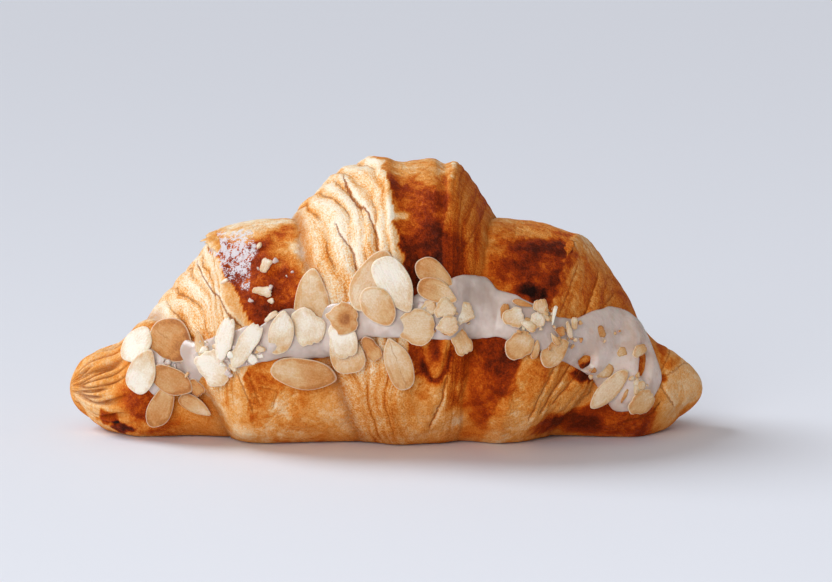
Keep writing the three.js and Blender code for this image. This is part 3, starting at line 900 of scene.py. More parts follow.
def crustMaterial():
    # browning by the bake mark with mottling and speckle; on the cut edges stains drawn out along the
    # layers, thin dark lines of painted shade between some of them with softer painted shade beside them,
    # and a painted highlight on each layer's crest; cracks with painted shade in them and a painted
    # highlight on one side;
    # painted shade in creases and grooves; sugar in strokes; washed turns are glossier
    look = crustLook
    material, wire, shader = newMaterial("baked_crust")
    place = wire.node("ShaderNodeTexCoord", out="Object")
    layout = wire.node("ShaderNodeUVMap", dict(uv_map="layout"))
    across, along = layout.part("X"), layout.part("Y")
    layered, washed = wire.attribute("layered"), wire.attribute("washed")
    mottle, blotch, flecks, speckle = (wire.spots(place, look[name]) - 0.5
                                       for name in ("mottle", "blotch", "flecks", "speckle"))

    # layers
    acrossStep, alongStep, noise = look["stain"]
    stain = wire.spots(wire.place(acrossStep * across, alongStep * along), noise) * layered
    acrossStep, alongStep, noise = look["threads"]
    threads = wire.spots(wire.place(acrossStep * across, alongStep * along), noise)
    acrossStep, alongStep, noise = look["gaps"]
    gaps = wire.noise(wire.place(acrossStep * wire.maths("ROUND", across), alongStep * along), *noise)
    betweenLayers = wire.maths("PINGPONG", across, 0.5)  # nought between two layers, half in their middle
    wavering = betweenLayers + look["lineWaver"] * flecks
    # painted shade in the gaps between layers, softer painted shade beside it, and a painted highlight on
    # each layer's crest
    line = (1 - wavering.over(*look["line"])) * gaps.over(*look["lineShown"]) * layered
    flank = (1 - wavering.over(*look["flank"])) * gaps.over(*look["flankShown"]) * layered
    crest = betweenLayers.over(*look["crest"]) * layered

    # cracks: painted shade in them and a painted highlight on one side
    crackOff = wire.attribute("crackOff") + look["crackWaver"] * flecks
    crack = wire.attribute("crackDepth") * (1 - wire.maths("ABSOLUTE", crackOff).over(*look["crack"]))
    start, full, end, over = look["besideCrack"]
    oneSide = 0 - crackOff
    beside = oneSide.over(start, full) * (1 - oneSide.over(end, over)) * wire.attribute("crackPale")

    # colour
    browns = look["browns"]
    browned = wire.attribute("bake") + browns["stain"] * stain + browns["flank"] * flank
    browned = browned - browns["crest"] * crest - browns["besideCrack"] * beside
    for name, spots, where in (("mottle", mottle, washed), ("blotch", blotch, washed),
                               ("flecks", flecks, washed), ("speckle", speckle, layered)):
        everywhere, there = browns[name]
        browned = browned + (everywhere + there * where) * spots
    browned = browned + browns["threads"] * layered * (threads - 0.5)
    base = (look["stopScale"] * browned).ramp(look["stops"])
    # painted shade of cracks, creases, grooves and lines between layers, mixed over the browning
    dark = wire.maths("MAXIMUM", crack, wire.attribute("crease"))
    dark = wire.maths("MAXIMUM", look["lineDark"] * line, dark)
    base = wire.mixed(look["dark"] * dark, base, colour(look["darkColour"]))

    # sugar
    drawn = look["sugarStrokes"]
    sockets = {"Vector": place, "Rotation": drawn["turned"], "Scale": drawn["scale"]}
    strokes = wire.noise(wire.node("ShaderNodeMapping", None, sockets), *drawn["noise"]) - 0.5
    share, strokesCount, speckleCount = look["sugarShown"]
    dust = wire.attribute("sugar") * (share + strokesCount * strokes + speckleCount * speckle)
    dust = dust.over(*look["sugarEdge"])
    base = wire.mixed(look["sugarCover"] * dust, base, colour(look["sugarColour"]))

    rough = look["rough"] - look["glossWashed"] * washed + look["roughFlecks"] * flecks
    rough = rough + look["roughSugar"] * dust
    heights = look["heights"]
    height = heights["speckle"] * speckle + heights["flecks"] * flecks + heights["mottle"] * mottle
    height = height + heights["threads"] * layered * threads - heights["line"] * line - crack
    plug(wire, shader, BaseColor=base, Roughness=rough, Normal=height.bumped(*look["bump"]))
    plug(wire, shader, SpecularIORLevel=0.07, SubsurfaceWeight=0.05, SubsurfaceScale=0.003)
    return material


def addCrust(material):
    # rings of points from end to end on the surface above, with a pole at each tip
    rings, sides = layering["stations"], layering["sides"]
    half = roll["length"] / 2
    stations = half * crowdedEnds(rings, layering["endSpacing"])
    points, marks, layout = crustSurface(*np.meshgrid(stations, crustAngles(sides), indexing="ij"))
    marks = {name: values[:, :-1] for name, values in marks.items()}
    points, marks = closeTube(points[:, :-1], marks, crust(np.array([-half, half]), np.zeros(2)))
    faces = tubeFaces(rings, sides)
    addPiece("crust_rolled", points, faces, material, "pastry", marks, tubeCorners(layout))


# the thin lips that peel off where the washed turns end

lips = dict(
    thick=0.8,
    thinner=0.6,  # share by which the rim is thinner
    steps=1000,
    across=6,
    runs=dict(left=95, right=73),  # how far out from the dough's point
    start=85,  # degrees round
    stop=25,  # degrees before the end of its run
    # degrees round, half width in degrees, how far out, how much higher: torn up corners
    peeled=dict(left=[(530, 15, 3.4, 0.8)], right=[(515, 10, 1.0, 0.4)]),
    root=2.2,  # how far inside the turn it starts
    near=0.7,  # and where its direction is taken
    beyond=0.4,
    sunk=0.75,  # how far below the crust it lies where nothing is peeled
    rootSunk=0.45,
    lower=0.1,
    ragged=(0.35, 1, 141, 3),  # noise: strength, size, seed, how many sizes
    raggedStep=5,  # degrees
    tone=(0.1, 11, 3, 151),  # strength, degrees, where in the noise, seed
    paler=dict(left=1, right=0.3),
    bake=0.66,
    rootPaler=0.32,
    rimPaler=0.44,
    lastPaler=0.06,
    washed=0.5,  # how far its root is washed
    layout=(4, 0.07),  # steps of the layout across and along
)


def lipLine(side, samples=4000, rounds=6):
    # the run of a cut edge round the roll: places across, angles and degrees come. A few rounds bring the
    # angle onto the ragged edge
    out = np.linspace(0, lips["runs"][side], samples)
    come = rowsAt(roll[side], out, 1, roll["edgeBlend"])
    degrees = np.linspace(lips["start"], come[-1] - lips["stop"], lips["steps"])
    away = np.interp(degrees, come, out)
    x = roll["pointX"] + (away if side == "right" else -away)
    angle = np.radians(degrees) % tau
    for _ in range(rounds):
        turns = raggedTurns(x, angle)[0]
        angle = angle + tau * (turns - np.round(turns))
    return x, angle, degrees


def lipSurface(side, across):
    # a thin sheet that starts under the end of a washed turn and goes on in its direction, beyond the cut
    # edge, to a ragged, lifted rim; across runs out on its upper face and back on its lower one
    x, angle, degrees = lipLine(side)
    inward = -1 if side == "right" else 1
    within = crustSurface(x + inward * lips["root"], angle)[0]
    near = crustSurface(x + inward * lips["near"], angle)[0]
    along = unit(near - within)
    span = np.linalg.norm(near - within, axis=-1)
    outward = outOf(x, angle)
    key = np.stack([degrees / lips["raggedStep"], 0 * degrees, 0 * degrees + inward], -1)
    ragged = 1 + cloud(key, lips["ragged"])
    reach = 0
    lifted = 0
    for middle, half, further, higher in lips["peeled"][side]:
        reach = reach + further * ragged * bump(degrees, middle, half)
        lifted = lifted + higher * bump(degrees, middle, half)
    share = 1 - np.abs(2 * across - 1)  # 0 at the root, 1 at the rim
    upper = np.where(across < 0.5, 1, -1)
    thick = lips["thick"] * (1 - lips["thinner"] * share)
    run = share * (span + lips["beyond"] + reach)[:, None]
    sunk = lips["lower"] + lips["sunk"] * (1 - np.clip(reach, 0, 1))[:, None]
    above = share ** 2 * lifted[:, None] + upper * thick / 2 - lips["rootSunk"] * (1 - share) ** 2 - sunk
    points = within[:, None] + run[..., None] * along[:, None] + above[..., None] * outward[:, None]
    return points, share + 0 * run, degrees


def addLips(side, material):
    # a flat tube of the sheet above, paler towards its rim, with a tone that wanders along it
    sides = 2 * lips["across"]
    across = np.arange(sides) / sides
    points, rim, degrees = lipSurface(side, across if side == "left" else across[::-1])
    flat = 0 * rim
    strength, toneStep, toneAt, seed = lips["tone"]
    key = np.stack([degrees / toneStep, 0 * degrees, 0 * degrees + toneAt], -1)
    tone = strength * grain(key, seed)[:, None]
    paler = between(lips["rootPaler"], lips["rimPaler"], rim ** 2) + lips["lastPaler"] * rim ** 4
    marks = {name: flat for name in ("crease", "sugar", "layered", "crackDepth", "crackPale")}
    marks["bake"] = lips["bake"] - lips["paler"][side] * paler + tone
    marks["washed"] = lips["washed"] * (1 - rim)
    marks["crackOff"] = flat + baking["crackFar"]
    acrossStep, alongStep = lips["layout"]
    layout = np.stack([acrossStep * rim, alongStep * degrees[:, None] + flat], -1)
    corners = tubeCorners(np.concatenate([layout, layout[:, :1]], axis=1))
    points, marks = closeTube(points, marks)
    faces = tubeFaces(lips["steps"], sides)
    addPiece("crust_lip_" + side, points, faces, material, "pastry", marks, corners)


# the icing

icing = dict(
    thick=1.7,
    depth=2.6,  # how far the underside is sunk in the crust
    rimForm=0.5,  # power that rounds off its rims
    endForm=24,  # and its ends
    scallops=1.3,  # how far it runs down in rounded drips
    scallopSize=4.6,
    scallopForm=(-0.1, 0.7),
    scallopSeed=104,
    # where it levels the steps, over what width, how far to each side, how much at most
    levelled=(27, 18, 7, 2.5),
    stations=400,
    sides=44,
    endSpacing=0.6,
    # across, lower edge, upper edge
    edges=[(-67, 19.5, 25.6), (-65, 18, 26.2), (-61.5, 14, 27.4), (-54, 13, 28.6), (-48, 16, 27),
           (-40, 21.4, 31.4), (-31.5, 24, 33.5), (-25, 25.8, 37.6), (-20, 25, 36.5), (-14, 25.2, 38.8),
           (-5.5, 31, 40.6), (0, 31.6, 41), (4, 31.8, 41), (11.5, 31, 43.2), (18, 30.8, 46.2),
           (21, 30.2, 46.6), (25, 30.2, 44.6), (29, 31, 41.9), (34, 29, 40.2), (40, 27.4, 37.8),
           (44, 25.4, 35), (48.5, 22.6, 33.4), (52, 20, 34.6), (55.5, 14.6, 35.4), (57, 11.6, 35.5),
           (60.5, 9.6, 34.2), (64, 9, 32.8), (68, 9.4, 29), (70.6, 11, 23.6), (72.4, 13.6, 18.4)],
    edgeBlend=1.5,
    # places where the crust comes through: across, up, half width, half height
    bare=[(66.8, 20.6, 1.4, 3.2), (50.6, 22.6, 1.8, 1.6)],
    bareEdge=(0.5, 1.6),
    bareDepth=0.9,
    # lumps: across, up, half width, how much thicker
    lumps=[(-22, 27, 4, 0.8), (-27.5, 28, 3.5, 0.6), (-14, 29, 3.5, 0.7), (19, 41, 7, 0.5), (2, 34, 5, 0.6),
           (0.2, 32.6, 2.2, 0.8), (61, 28, 8, 0.4), (54, 23, 4, 0.5), (62, 14, 5, 0.5), (-52, 24, 6, 0.4)],
    wanderAt=20,  # height at which the edges' noise is read
    # strength, size, seed, how many sizes
    lowWander=(0.3, 3.5, 101, 2),
    highWander=(0.45, 3.5, 111, 2),
    uneven=(0.28, 8, 121, 2),
    ripples=(0.06, 3, 131, 2),
    bareWander=(0.5, 2.6, 171, 2),
    smeared=(44, 54),  # from where on it is smeared with tan
)


def icingSurface(along, around):
    # a full section with rounded rims, carried along the front between the lower and the upper edge; the
    # half inside the crust only closes it. Thickness and edges wander, it fills hollows, and where it is
    # bare it sinks below the crust
    x = between(icing["edges"][0][0], icing["edges"][-1][0], along)
    key = np.stack([x, 0 * x, 0 * x + icing["wanderAt"]], -1)
    drips = ease(*icing["scallopForm"], grain(key / icing["scallopSize"], icing["scallopSeed"]))
    low = rowsAt(icing["edges"], x, 1, icing["edgeBlend"]) + cloud(key, icing["lowWander"])
    low = low - icing["scallops"] * drips
    high = rowsAt(icing["edges"], x, 2, icing["edgeBlend"]) + cloud(key, icing["highWander"])
    ending = np.sqrt(np.maximum(0, 1 - (2 * along - 1) ** icing["endForm"]))
    up = (low + high) / 2 - 0.5 * (high - low) * ending * np.cos(around)
    angle = frontAngle(x, up)
    outward = outOf(x, angle)
    place = crust(x, angle)
    middle, wide, reach, most = icing["levelled"]
    besides = np.linspace(-reach, reach, 11)
    nearby = sum(crust(x + beside, angle) for beside in besides) / len(besides)
    hollow = np.clip(((nearby - place) * outward).sum(-1), 0, most) * bump(x, middle, wide)
    thick = 1 + cloud(place, icing["uneven"]) + cloud(place, icing["ripples"])
    for across, height, half, more in icing["lumps"]:
        thick = thick + more * bump(x, across, half) * bump(place[..., 2], height, half)
    covered = 1
    for across, height, halfWide, halfHigh in icing["bare"]:
        away = np.hypot((x - across) / halfWide, (place[..., 2] - height) / halfHigh)
        covered = covered * ease(*icing["bareEdge"], away + cloud(place, icing["bareWander"]))
    thick = (icing["thick"] * thick + hollow) * covered - icing["bareDepth"] * (1 - covered)
    full = np.sign(np.sin(around)) * np.abs(np.sin(around)) ** icing["rimForm"]
    out = ending * np.where(full > 0, full * thick, full * icing["depth"])
    marks = dict(thin=1 - np.clip(full, 0, 1) * covered, smeared=ease(*icing["smeared"], x))
    return place + out[..., None] * outward, marks


icingLook = dict(
    # noise: scale for a metre, detail, roughness, and the values that become 0 and 1
    broad=(130.0, 3.0, 0.55, 0.34, 0.66),
    middle=(420.0, 3.0, 0.6, 0.34, 0.66),
    fine=(1500.0, 2.0, 0.55),
    colours=("baa598", "d3c2b7"),
    white=(0.15, "f2e9e4"),  # painted highlight where the middle and broad noises are both high: share, colour
    right=(0.5, "e8d3c5"),
    tan=(0.22, "b98352"),
    tanNoise=0.6,
    tanFrom=(0.55, 0.85),
    thin=(0.35, "b0825c"),
    thinNoise=0.5,
    thinFrom=(0.55, 1.0),
    rough=0.17,
    roughMiddle=0.1,
    roughTan=0.2,
    heights=(0.6, 0.2, 0.1),  # broad, middle, fine
    bump=(0.2, 1.0),  # strength, distance
)


def icingMaterial():
    # white glaze, greyer and warmer by turns, with patches of painted highlight, the crust showing where it
    # runs thin and tan smears on the right
    look = icingLook
    material, wire, shader = newMaterial("white_icing")
    place = wire.node("ShaderNodeTexCoord", out="Object")
    broad, middle = wire.spots(place, look["broad"]), wire.spots(place, look["middle"])
    fine = wire.noise(place, *look["fine"])
    smeared = wire.attribute("smeared")
    tan = smeared * (look["tanNoise"] * (middle + 1 - broad)).over(*look["tanFrom"])
    thin = (wire.attribute("thin") + look["thinNoise"] * (fine - 0.5)).over(*look["thinFrom"])
    base = wire.mixed(broad, *(colour(code) for code in look["colours"]))
    # the first of these is painted highlight on the icing
    for name, where in (("white", middle * broad), ("right", smeared), ("tan", tan), ("thin", thin)):
        share, code = look[name]
        base = wire.mixed(share * where, base, colour(code))
    rough = look["rough"] + look["roughMiddle"] * middle + look["roughTan"] * tan
    broadHigh, middleHigh, fineHigh = look["heights"]
    height = broadHigh * broad + middleHigh * middle + fineHigh * fine
    plug(wire, shader, BaseColor=base, Roughness=rough, Normal=height.bumped(*look["bump"]))
    plug(wire, shader, SubsurfaceWeight=0.2, SubsurfaceScale=0.0015, SpecularIORLevel=0.45)
    return material


def addIcing(material):
    # rings of points round the section above from one end of the icing to the other
    rings, sides = icing["stations"], icing["sides"]
    stations = (1 + crowdedEnds(rings, icing["endSpacing"])) / 2
    around = np.linspace(0, tau, sides, endpoint=False)
    points, marks = closeTube(*icingSurface(*np.meshgrid(stations, around, indexing="ij")))
    addPiece("icing_glaze", points, tubeFaces(rings, sides), material, "icing_with_almonds", marks)


# the flaked almonds

almonds = dict(
    thick=0.85,
    thinRim=0.25,  # share by which the rim is thinner
    rimForm=(0.4, 0.35),  # powers that round off the rim, over the outline and through the thickness
    facing=0.35,  # share by which a flake turns from the crust's own direction to the front
    front=(0, -1, 0.15),
    waver=[(0.03, 3, 1.7), (0.022, 5, 2.9)],  # of the outline: how far, waves round, step to the next flake
    taper=(0.08, 0.2, 0.37),  # least, how much more, step to the next flake
    pointed=(0.3, 0.61),  # most, step to the next flake
    # where a broken flake ends: direction, how far and how fast that swings from flake to flake, how near
    breaks=[(0, 0, 0, 1), (2.1, 0.4, 1, 0.55), (4.2, 0.5, 2, 0.75)],
    breakFrom=1.04,
    breakRough=(0.04, 9),  # how far a broken side wavers, waves round the flake
    bend=(0.0063, 2.3),  # how much, step to the next flake
    twist=(0.012, 1.3, 1),  # and where that starts
    toastSlant=0.14,  # how much more one end is toasted
    pit=(0.7, 1.5),  # painted shade of a hollow, which the shape does not have: how dark, how wide
    pitted=15,  # which flake has one
    split=(2, 18),  # and which have a line along the middle
    layoutStep=31,  # how far along the layout the next flake lies
    # across, up, long, wide, degrees turned, raised off the crust, toasted, broken off
    flakes=[(-64.2, 24.8, 10.4, 8.8, 60, 1.6, 0.05, 0), (-62.5, 18.7, 12, 7.8, 74, 2.2, 0.1, 0),
            (-54.4, 26.2, 14, 10.8, -30, 2.6, 0.72, 0), (-55, 17, 12.3, 7.1, -24, 2.8, 0.66, 0),
            (-58.2, 10.3, 13.6, 6.3, 66, 1.6, 0.6, 0), (-49.3, 10.6, 9.4, 4.5, -32, 1.3, 0.5, 0),
            (-48, 15.4, 5.8, 4.2, -55, 2.0, 0.7, 0.4), (-46.4, 26.4, 8.6, 3, 105, 2.2, 0.4, 0),
            (-42.2, 21.8, 13, 9.8, -20, 2.8, 0.1, 0.35), (-39.4, 30, 14, 5, 78, 2.7, 0.0, 0.3),
            (-34.1, 29, 13.6, 5.4, 58, 2.8, 0.08, 0.25), (-25.8, 31.6, 11.2, 6.5, 80, 2.8, 0.2, 0),
            (-18, 39.1, 16.6, 9.2, 95, 2.1, 0.4, 0), (-18.8, 32.5, 11.4, 9, -70, 3.1, 0.14, 0.35),
            (-20.3, 21.4, 17.1, 8.3, -8, 1.9, 0.58, 0), (-9.4, 35.9, 10, 8.4, 0, 2.9, 0.5, 0.35),
            (-9.4, 27.4, 12, 8.8, 110, 1.6, 0.36, 0), (-2.7, 28.4, 7.6, 4.4, -55, 1.7, 0.66, 0.3),
            (3.5, 25.1, 14.3, 6.8, 109, 1.3, 0.4, 0), (-2.6, 45.2, 16.8, 9.8, 65, 1.8, 0.35, 0),
            (2.7, 44.7, 15.6, 8.3, -60, 2.9, 0.06, 0), (-0.7, 39.1, 11.2, 8, -50, 3.5, 0.42, 0),
            (8.2, 34.3, 10.2, 9.6, 0, 3.0, 0.36, 0.2), (12.4, 46.8, 10.9, 6.3, -38, 1.8, 0.58, 0),
            (13.1, 42.6, 10.7, 5.7, -25, 2.7, 0.5, 0), (15, 38.8, 6.4, 5.6, 40, 2.8, 0.26, 0.4),
            (19.4, 37.2, 7, 6.2, 20, 2.6, 0.24, 0.4), (15.6, 34.6, 7.2, 5.4, 10, 3.2, 0.3, 0.4),
            (11.2, 38.8, 6, 4, 30, 2.4, 0.35, 0.4), (19, 29.7, 8.4, 5.6, -65, 1.9, 0.46, 0.35),
            (32.4, 35.3, 6.6, 5.8, 15, 2.8, 0.28, 0.35), (37.9, 34.4, 5.4, 4.2, 60, 2.9, 0.2, 0.35),
            (39, 37.7, 4.8, 4.4, 100, 2.3, 0.4, 0.35), (36, 33.1, 5, 2.6, -30, 3.1, 0.3, 0.35),
            (34.3, 38.4, 5.6, 1.6, -18, 2.6, 0.75, 0), (30, 36.9, 5, 2.6, 80, 2.4, 0.75, 0.3),
            (34, 28.9, 8.6, 7, 40, 1.7, 0.46, 0.2), (37.8, 27.6, 5, 2.1, 75, 1.6, 0.5, 0),
            (42.5, 26.4, 9.1, 5.9, 40, 1.8, 0.48, 0), (41.9, 35.9, 6.6, 1.1, 70, 3.3, 0.0, 0.5),
            (42.4, 29.4, 4.8, 1.6, -55, 2.7, 0.5, 0.4), (45.9, 31.2, 5, 1.6, -80, 2.6, 0.3, 0.3),
            (47.3, 32.9, 3.7, 2.1, 80, 2.6, 0.3, 0.3), (43.8, 31.4, 3.4, 2.9, 0, 2.4, 0.75, 0.4),
            (54.6, 29.5, 4.4, 3.6, 20, 1.9, 0.7, 0.4), (65.3, 23.6, 5.8, 3.2, 22, 2.1, 0.5, 0.3),
            (56, 20, 6.2, 5.2, 45, 2.2, 0.46, 0.35), (57.7, 15.2, 13.6, 5.2, 45, 2.8, 0.3, 0),
            (65.7, 15.3, 2.6, 2.6, 0, 2.2, 0.3, 0.2), (61.6, 13.2, 4.8, 1.1, 65, 2.3, 0.65, 0.3),
            (66.1, 11.1, 9, 6.6, 35, 2.0, 0.44, 0.25), (60.8, 23.6, 3.6, 2.8, 10, 2.0, 0.45, 0.4),
            (-45, 26, 3.7, 1.9, 30, 2.4, 0.05, 0.4), (-33, 25.3, 5.4, 2.4, -50, 2.6, 0.0, 0.5),
            (-30.1, 47.9, 4.9, 3.6, 70, 0.5, 0.2, 0.5), (-30.4, 41.5, 6.6, 3.2, 0, 0.5, 0.18, 0.5),
            (-28.6, 39.3, 2, 1.6, 20, 0.7, 0.2, 0.4), (-28, 35.6, 5, 1.8, 35, 2.2, 0.2, 0.4),
            (-9.8, 30.2, 10.4, 7.8, -68, 2.9, 0.1, 0.25), (-32.2, 52, 2.4, 1.2, 80, 0.5, 0.3, 0.3),
            (-40.6, 43.6, 2.6, 1, 35, 0.6, 0.1, 0.3)],
    # small broken bits: across, up, half width, half height, how many, toasted
    bits=[(-42, 25, 5, 3.5, 12, 0.1), (-34, 29, 4, 3, 6, 0.1), (16, 36.5, 4.5, 3.5, 14, 0.35),
          (36, 34.5, 6, 3, 18, 0.4), (45, 30, 4, 3, 12, 0.5), (55, 24, 5, 5, 7, 0.55),
          (62, 17, 5, 4, 7, 0.4), (-52, 20, 4, 4, 5, 0.2)],
    # crumbs of dried icing, in the same way
    icingBits=[(-42, 24, 5, 4, 16, 0), (-35, 26, 4, 3, 8, 0), (-56, 18, 3, 4, 6, 0), (8, 39, 3, 2, 6, 0),
               (-29, 45, 6, 6, 6, 0)],
    # least and most that is drawn for a bit
    bitSize=(1.0, 3.4),
    bitSlim=(0.35, 0.9),
    bitRaised=(1.6, 2.9),
    bitTone=(-0.2, 0.25),
    bitBroken=(0.3, 0.6),
    seed=12,
    ringSpacing=(2.2, 2.5),  # powers that crowd the rings of points towards the rim
    # rings and sides of the points on one
    flakeGrid=(13, 36),
    bitGrid=(5, 12),
    crumbGrid=(5, 10),
)


def almondOutline(number, broken, around):
    # an oval that wavers and tapers, pointed at one end, cut straight on three sides where it is broken:
    # lengthways and sideways, each from about -1 to 1
    wave = 1 + sum(far * np.sin(count * around + step * number) for far, count, step in almonds["waver"])
    least, more, step = almonds["taper"]
    taper = least + more * (step * number % 1)
    most, step = almonds["pointed"]
    narrowed = taper * np.cos(around) + most * (step * number % 1) * np.maximum(0, np.cos(around)) ** 3
    lengthways = wave * np.cos(around)
    sideways = wave * np.sin(around) * (1 - narrowed)
    rough, count = almonds["breakRough"]
    for direction, swing, fast, near in almonds["breaks"]:
        facing = direction + swing * math.sin(fast * number)
        beyond = lengthways * math.cos(facing) + sideways * math.sin(facing)
        beyond = beyond - almonds["breakFrom"] + broken * near + rough * np.sin(count * around + number)
        snapped = np.maximum(0, beyond) * (broken > 0)
        lengthways = lengthways - snapped * math.cos(facing)
        sideways = sideways - snapped * math.sin(facing)
    return lengthways, sideways


def almondSurface(row, number, around, section):
    # a thin leaf of that outline with rounded rims, domed and a little twisted, laid against the front at
    # its place
    across, up, long, wide, turned, raised, toasted, broken = row
    lengthways, sideways = almondOutline(number, broken, around)
    outlineForm, thicknessForm = almonds["rimForm"]
    reach = np.abs(np.sin(section)) ** outlineForm
    face = np.sign(np.cos(section)) * np.abs(np.cos(section)) ** thicknessForm
    alongX = long / 2 * reach * lengthways
    alongY = wide / 2 * reach * sideways
    bend, bendStep = almonds["bend"]
    twist, twistStep, twistStart = almonds["twist"]
    away = almonds["thick"] / 2 * face * (1 - almonds["thinRim"] * reach ** 4)
    away = away - bend * (1 + math.sin(bendStep * number)) * alongX ** 2
    away = away + twist * math.sin(twistStep * number + twistStart) * alongX * alongY

    x = np.array([across])
    angle = frontAngle(x, np.array([up]))
    outward = unit(outOf(x, angle)[0] + almonds["facing"] * np.array(almonds["front"]))
    level = unit(np.cross([0, 0, 1], outward))
    upward = np.cross(outward, level)
    cosine, sine = math.cos(math.radians(turned)), math.sin(math.radians(turned))
    right = (alongX * cosine - alongY * sine)[..., None]
    top = (alongX * sine + alongY * cosine)[..., None]
    centre = crust(x, angle)[0] + raised * outward
    points = centre + right * level + top * upward + away[..., None] * outward

    flat = 0 * around
    # painted shade of a hollow in one flake's middle, added to its toasting; the shape has no hollow
    pitDark, pitWide = almonds["pit"]
    pit = pitDark * bump(np.hypot(alongX, alongY), 0, pitWide) * (number == almonds["pitted"])
    toast = toasted + pit + almonds["toastSlant"] * lengthways * math.sin(number) + flat
    marks = dict(rim=reach + flat, toast=toast, split=flat + (number in almonds["split"]))
    return points, marks, np.stack([alongX + almonds["layoutStep"] * number, alongY + flat], -1)


almondLook = dict(
    # toasting and its colour
    stops=[(0.0, "f3e8d8"), (0.25, "e1c9a9"), (0.5, "d3a672"), (0.75, "c38343"), (1.0, "9c5a24")],
    # noise: scale, detail, roughness, and the values that become 0 and 1
    fibres=(1.0, 3.0, 0.55, 0.35, 0.65),
    fibreStretch=(0.25, 2.2, 1.0),
    cloudy=(260.0, 3.0, 0.55, 0.35, 0.65),
    specks=(2300.0, 2.0, 0.55, 0.35, 0.65),
    toasts=dict(cloudy=0.1, fibres=0.07, specks=0.1, rim=0.16),  # how much each adds to the toasting
    rimWaver=0.2,
    rimFrom=(0.68, 0.92),
    cut=(0.6, "f6e6cd"),  # paler cut edge, the almond's own white with a painted highlight where it catches the light: share, colour
    cutFrom=(0.92, 0.99),
    split=(0.45, "a86a30"),
    splitWaver=0.7,
    splitHalf=(0.05, 0.24),
    rough=0.5,
    roughSpecks=0.1,
    heights=dict(fibres=0.4, specks=0.3, cloudy=0.5),
    bump=(0.35, 0.4),  # strength, distance
)


def almondMaterial():
    # cream leaf with fine lengthwise grain and specks, golden with toasting and more so round its rim, and a
    # paler cut edge, the almond's own white with a painted highlight on it; some have a line along the
    # middle
    look = almondLook
    material, wire, shader = newMaterial("almond_flake")
    place = wire.node("ShaderNodeTexCoord", out="Object")
    layout = wire.node("ShaderNodeUVMap", dict(uv_map="layout"))
    stretched = wire.node("ShaderNodeMapping", None, {"Vector": layout, "Scale": look["fibreStretch"]})
    fibres = wire.spots(stretched, look["fibres"]) - 0.5
    cloudy = wire.spots(place, look["cloudy"]) - 0.5
    specks = wire.spots(place, look["specks"]) - 0.5
    rim = wire.attribute("rim")
    toasts = look["toasts"]
    shade = wire.attribute("toast") + toasts["cloudy"] * cloudy + toasts["fibres"] * fibres
    shade = shade + toasts["specks"] * specks
    shade = shade + toasts["rim"] * (rim + look["rimWaver"] * cloudy).over(*look["rimFrom"])
    base = shade.ramp(look["stops"])
    # the cut edge: the almond's white with a painted highlight
    share, code = look["cut"]
    base = wire.mixed(share * rim.over(*look["cutFrom"]), base, colour(code))
    fromMiddle = wire.maths("ABSOLUTE", layout.part("Y") + look["splitWaver"] * cloudy)
    share, code = look["split"]
    line = wire.attribute("split") * (1 - fromMiddle.over(*look["splitHalf"]))
    base = wire.mixed(share * line, base, colour(code))
    rough = look["rough"] + look["roughSpecks"] * specks
    heights = look["heights"]
    height = heights["fibres"] * fibres + heights["specks"] * specks + heights["cloudy"] * cloudy
    plug(wire, shader, BaseColor=base, Roughness=rough, Normal=height.bumped(*look["bump"]))
    plug(wire, shader, SubsurfaceWeight=0.15, SubsurfaceScale=0.002, SpecularIORLevel=0.3)
    return material


def brokenBits(rows, seed):
    # rows for small bits strewn by a seeded draw round each place, small ones oftener than large ones
    draw = np.random.default_rng(seed)
    made = []
    for across, up, wide, high, count, toasted in rows:
        x, z = across + wide * draw.uniform(-1, 1, count), up + high * draw.uniform(-1, 1, count)
        long = between(*almonds["bitSize"], draw.uniform(0, 1, count) ** 2)
        slim = long * draw.uniform(*almonds["bitSlim"], count)
        turned, raised = draw.uniform(0, 180, count), draw.uniform(*almonds["bitRaised"], count)
        tone = toasted + draw.uniform(*almonds["bitTone"], count)
        broken = draw.uniform(*almonds["bitBroken"], count)
        made += np.stack([x, z, long, slim, turned, raised, tone, broken], -1).tolist()
    return made


def addAlmonds(name, rows, grid, material):
    # every flake is a ball-like grid of rings from the middle of its face to the middle of its back
    rings, sides = grid
    across = np.linspace(-1, 1, rings + 2)[1:-1]
    inner, outer = almonds["ringSpacing"]
    tilt = np.arcsin((1 - np.abs(across) ** inner) ** outer)
    sections = np.where(across < 0, tilt, math.pi - tilt)
    section, around = np.meshgrid(sections, np.linspace(0, tau, sides + 1), indexing="ij")
    faces = tubeFaces(rings, sides)
    allPoints, allMarks, allFaces, allCorners = [], [], [], []
    for number, row in enumerate(rows):
        points, marks, layout = almondSurface(row, number, around, section)
        points, marks = closeTube(points[:, :-1], {mark: values[:, :-1] for mark, values in marks.items()})
        allFaces += [[corner + number * len(points) for corner in face] for face in faces]
        allPoints.append(points)
        allMarks.append(marks)
        allCorners.append(tubeCorners(layout))
    marks = {mark: np.concatenate([one[mark] for one in allMarks]) for mark in allMarks[0]}
    addPiece(name, np.concatenate(allPoints), allFaces, material, "icing_with_almonds", marks,
             np.concatenate(allCorners))


# floor, light and camera

studio = dict(
    floor="e5e7ed",
    floorRough=0.7,
    floorReach=9000,
    sky="ebe4e4",
    skyLight=0.4,
    sunFrom=(-0.7, 0.26, 0.65),
    sunLight=2.6,
    sunColour=(0.86, 0.93, 1.0),
    sunSpread=34,  # degrees across, for soft shadows
    fill=dict(place=(-500, -1300, 500), size=900, watts=11),
    fillAim=(0, 0, 30),
    aim=(8, 0, 37.9),
    distance=700,
    elevation=8,  # degrees
    pixelSize=0.265,  # one pixel of the picture at the aim
    pictureWide=832,
    sensor=36,
    farthest=50,  # metres that the camera sees
)


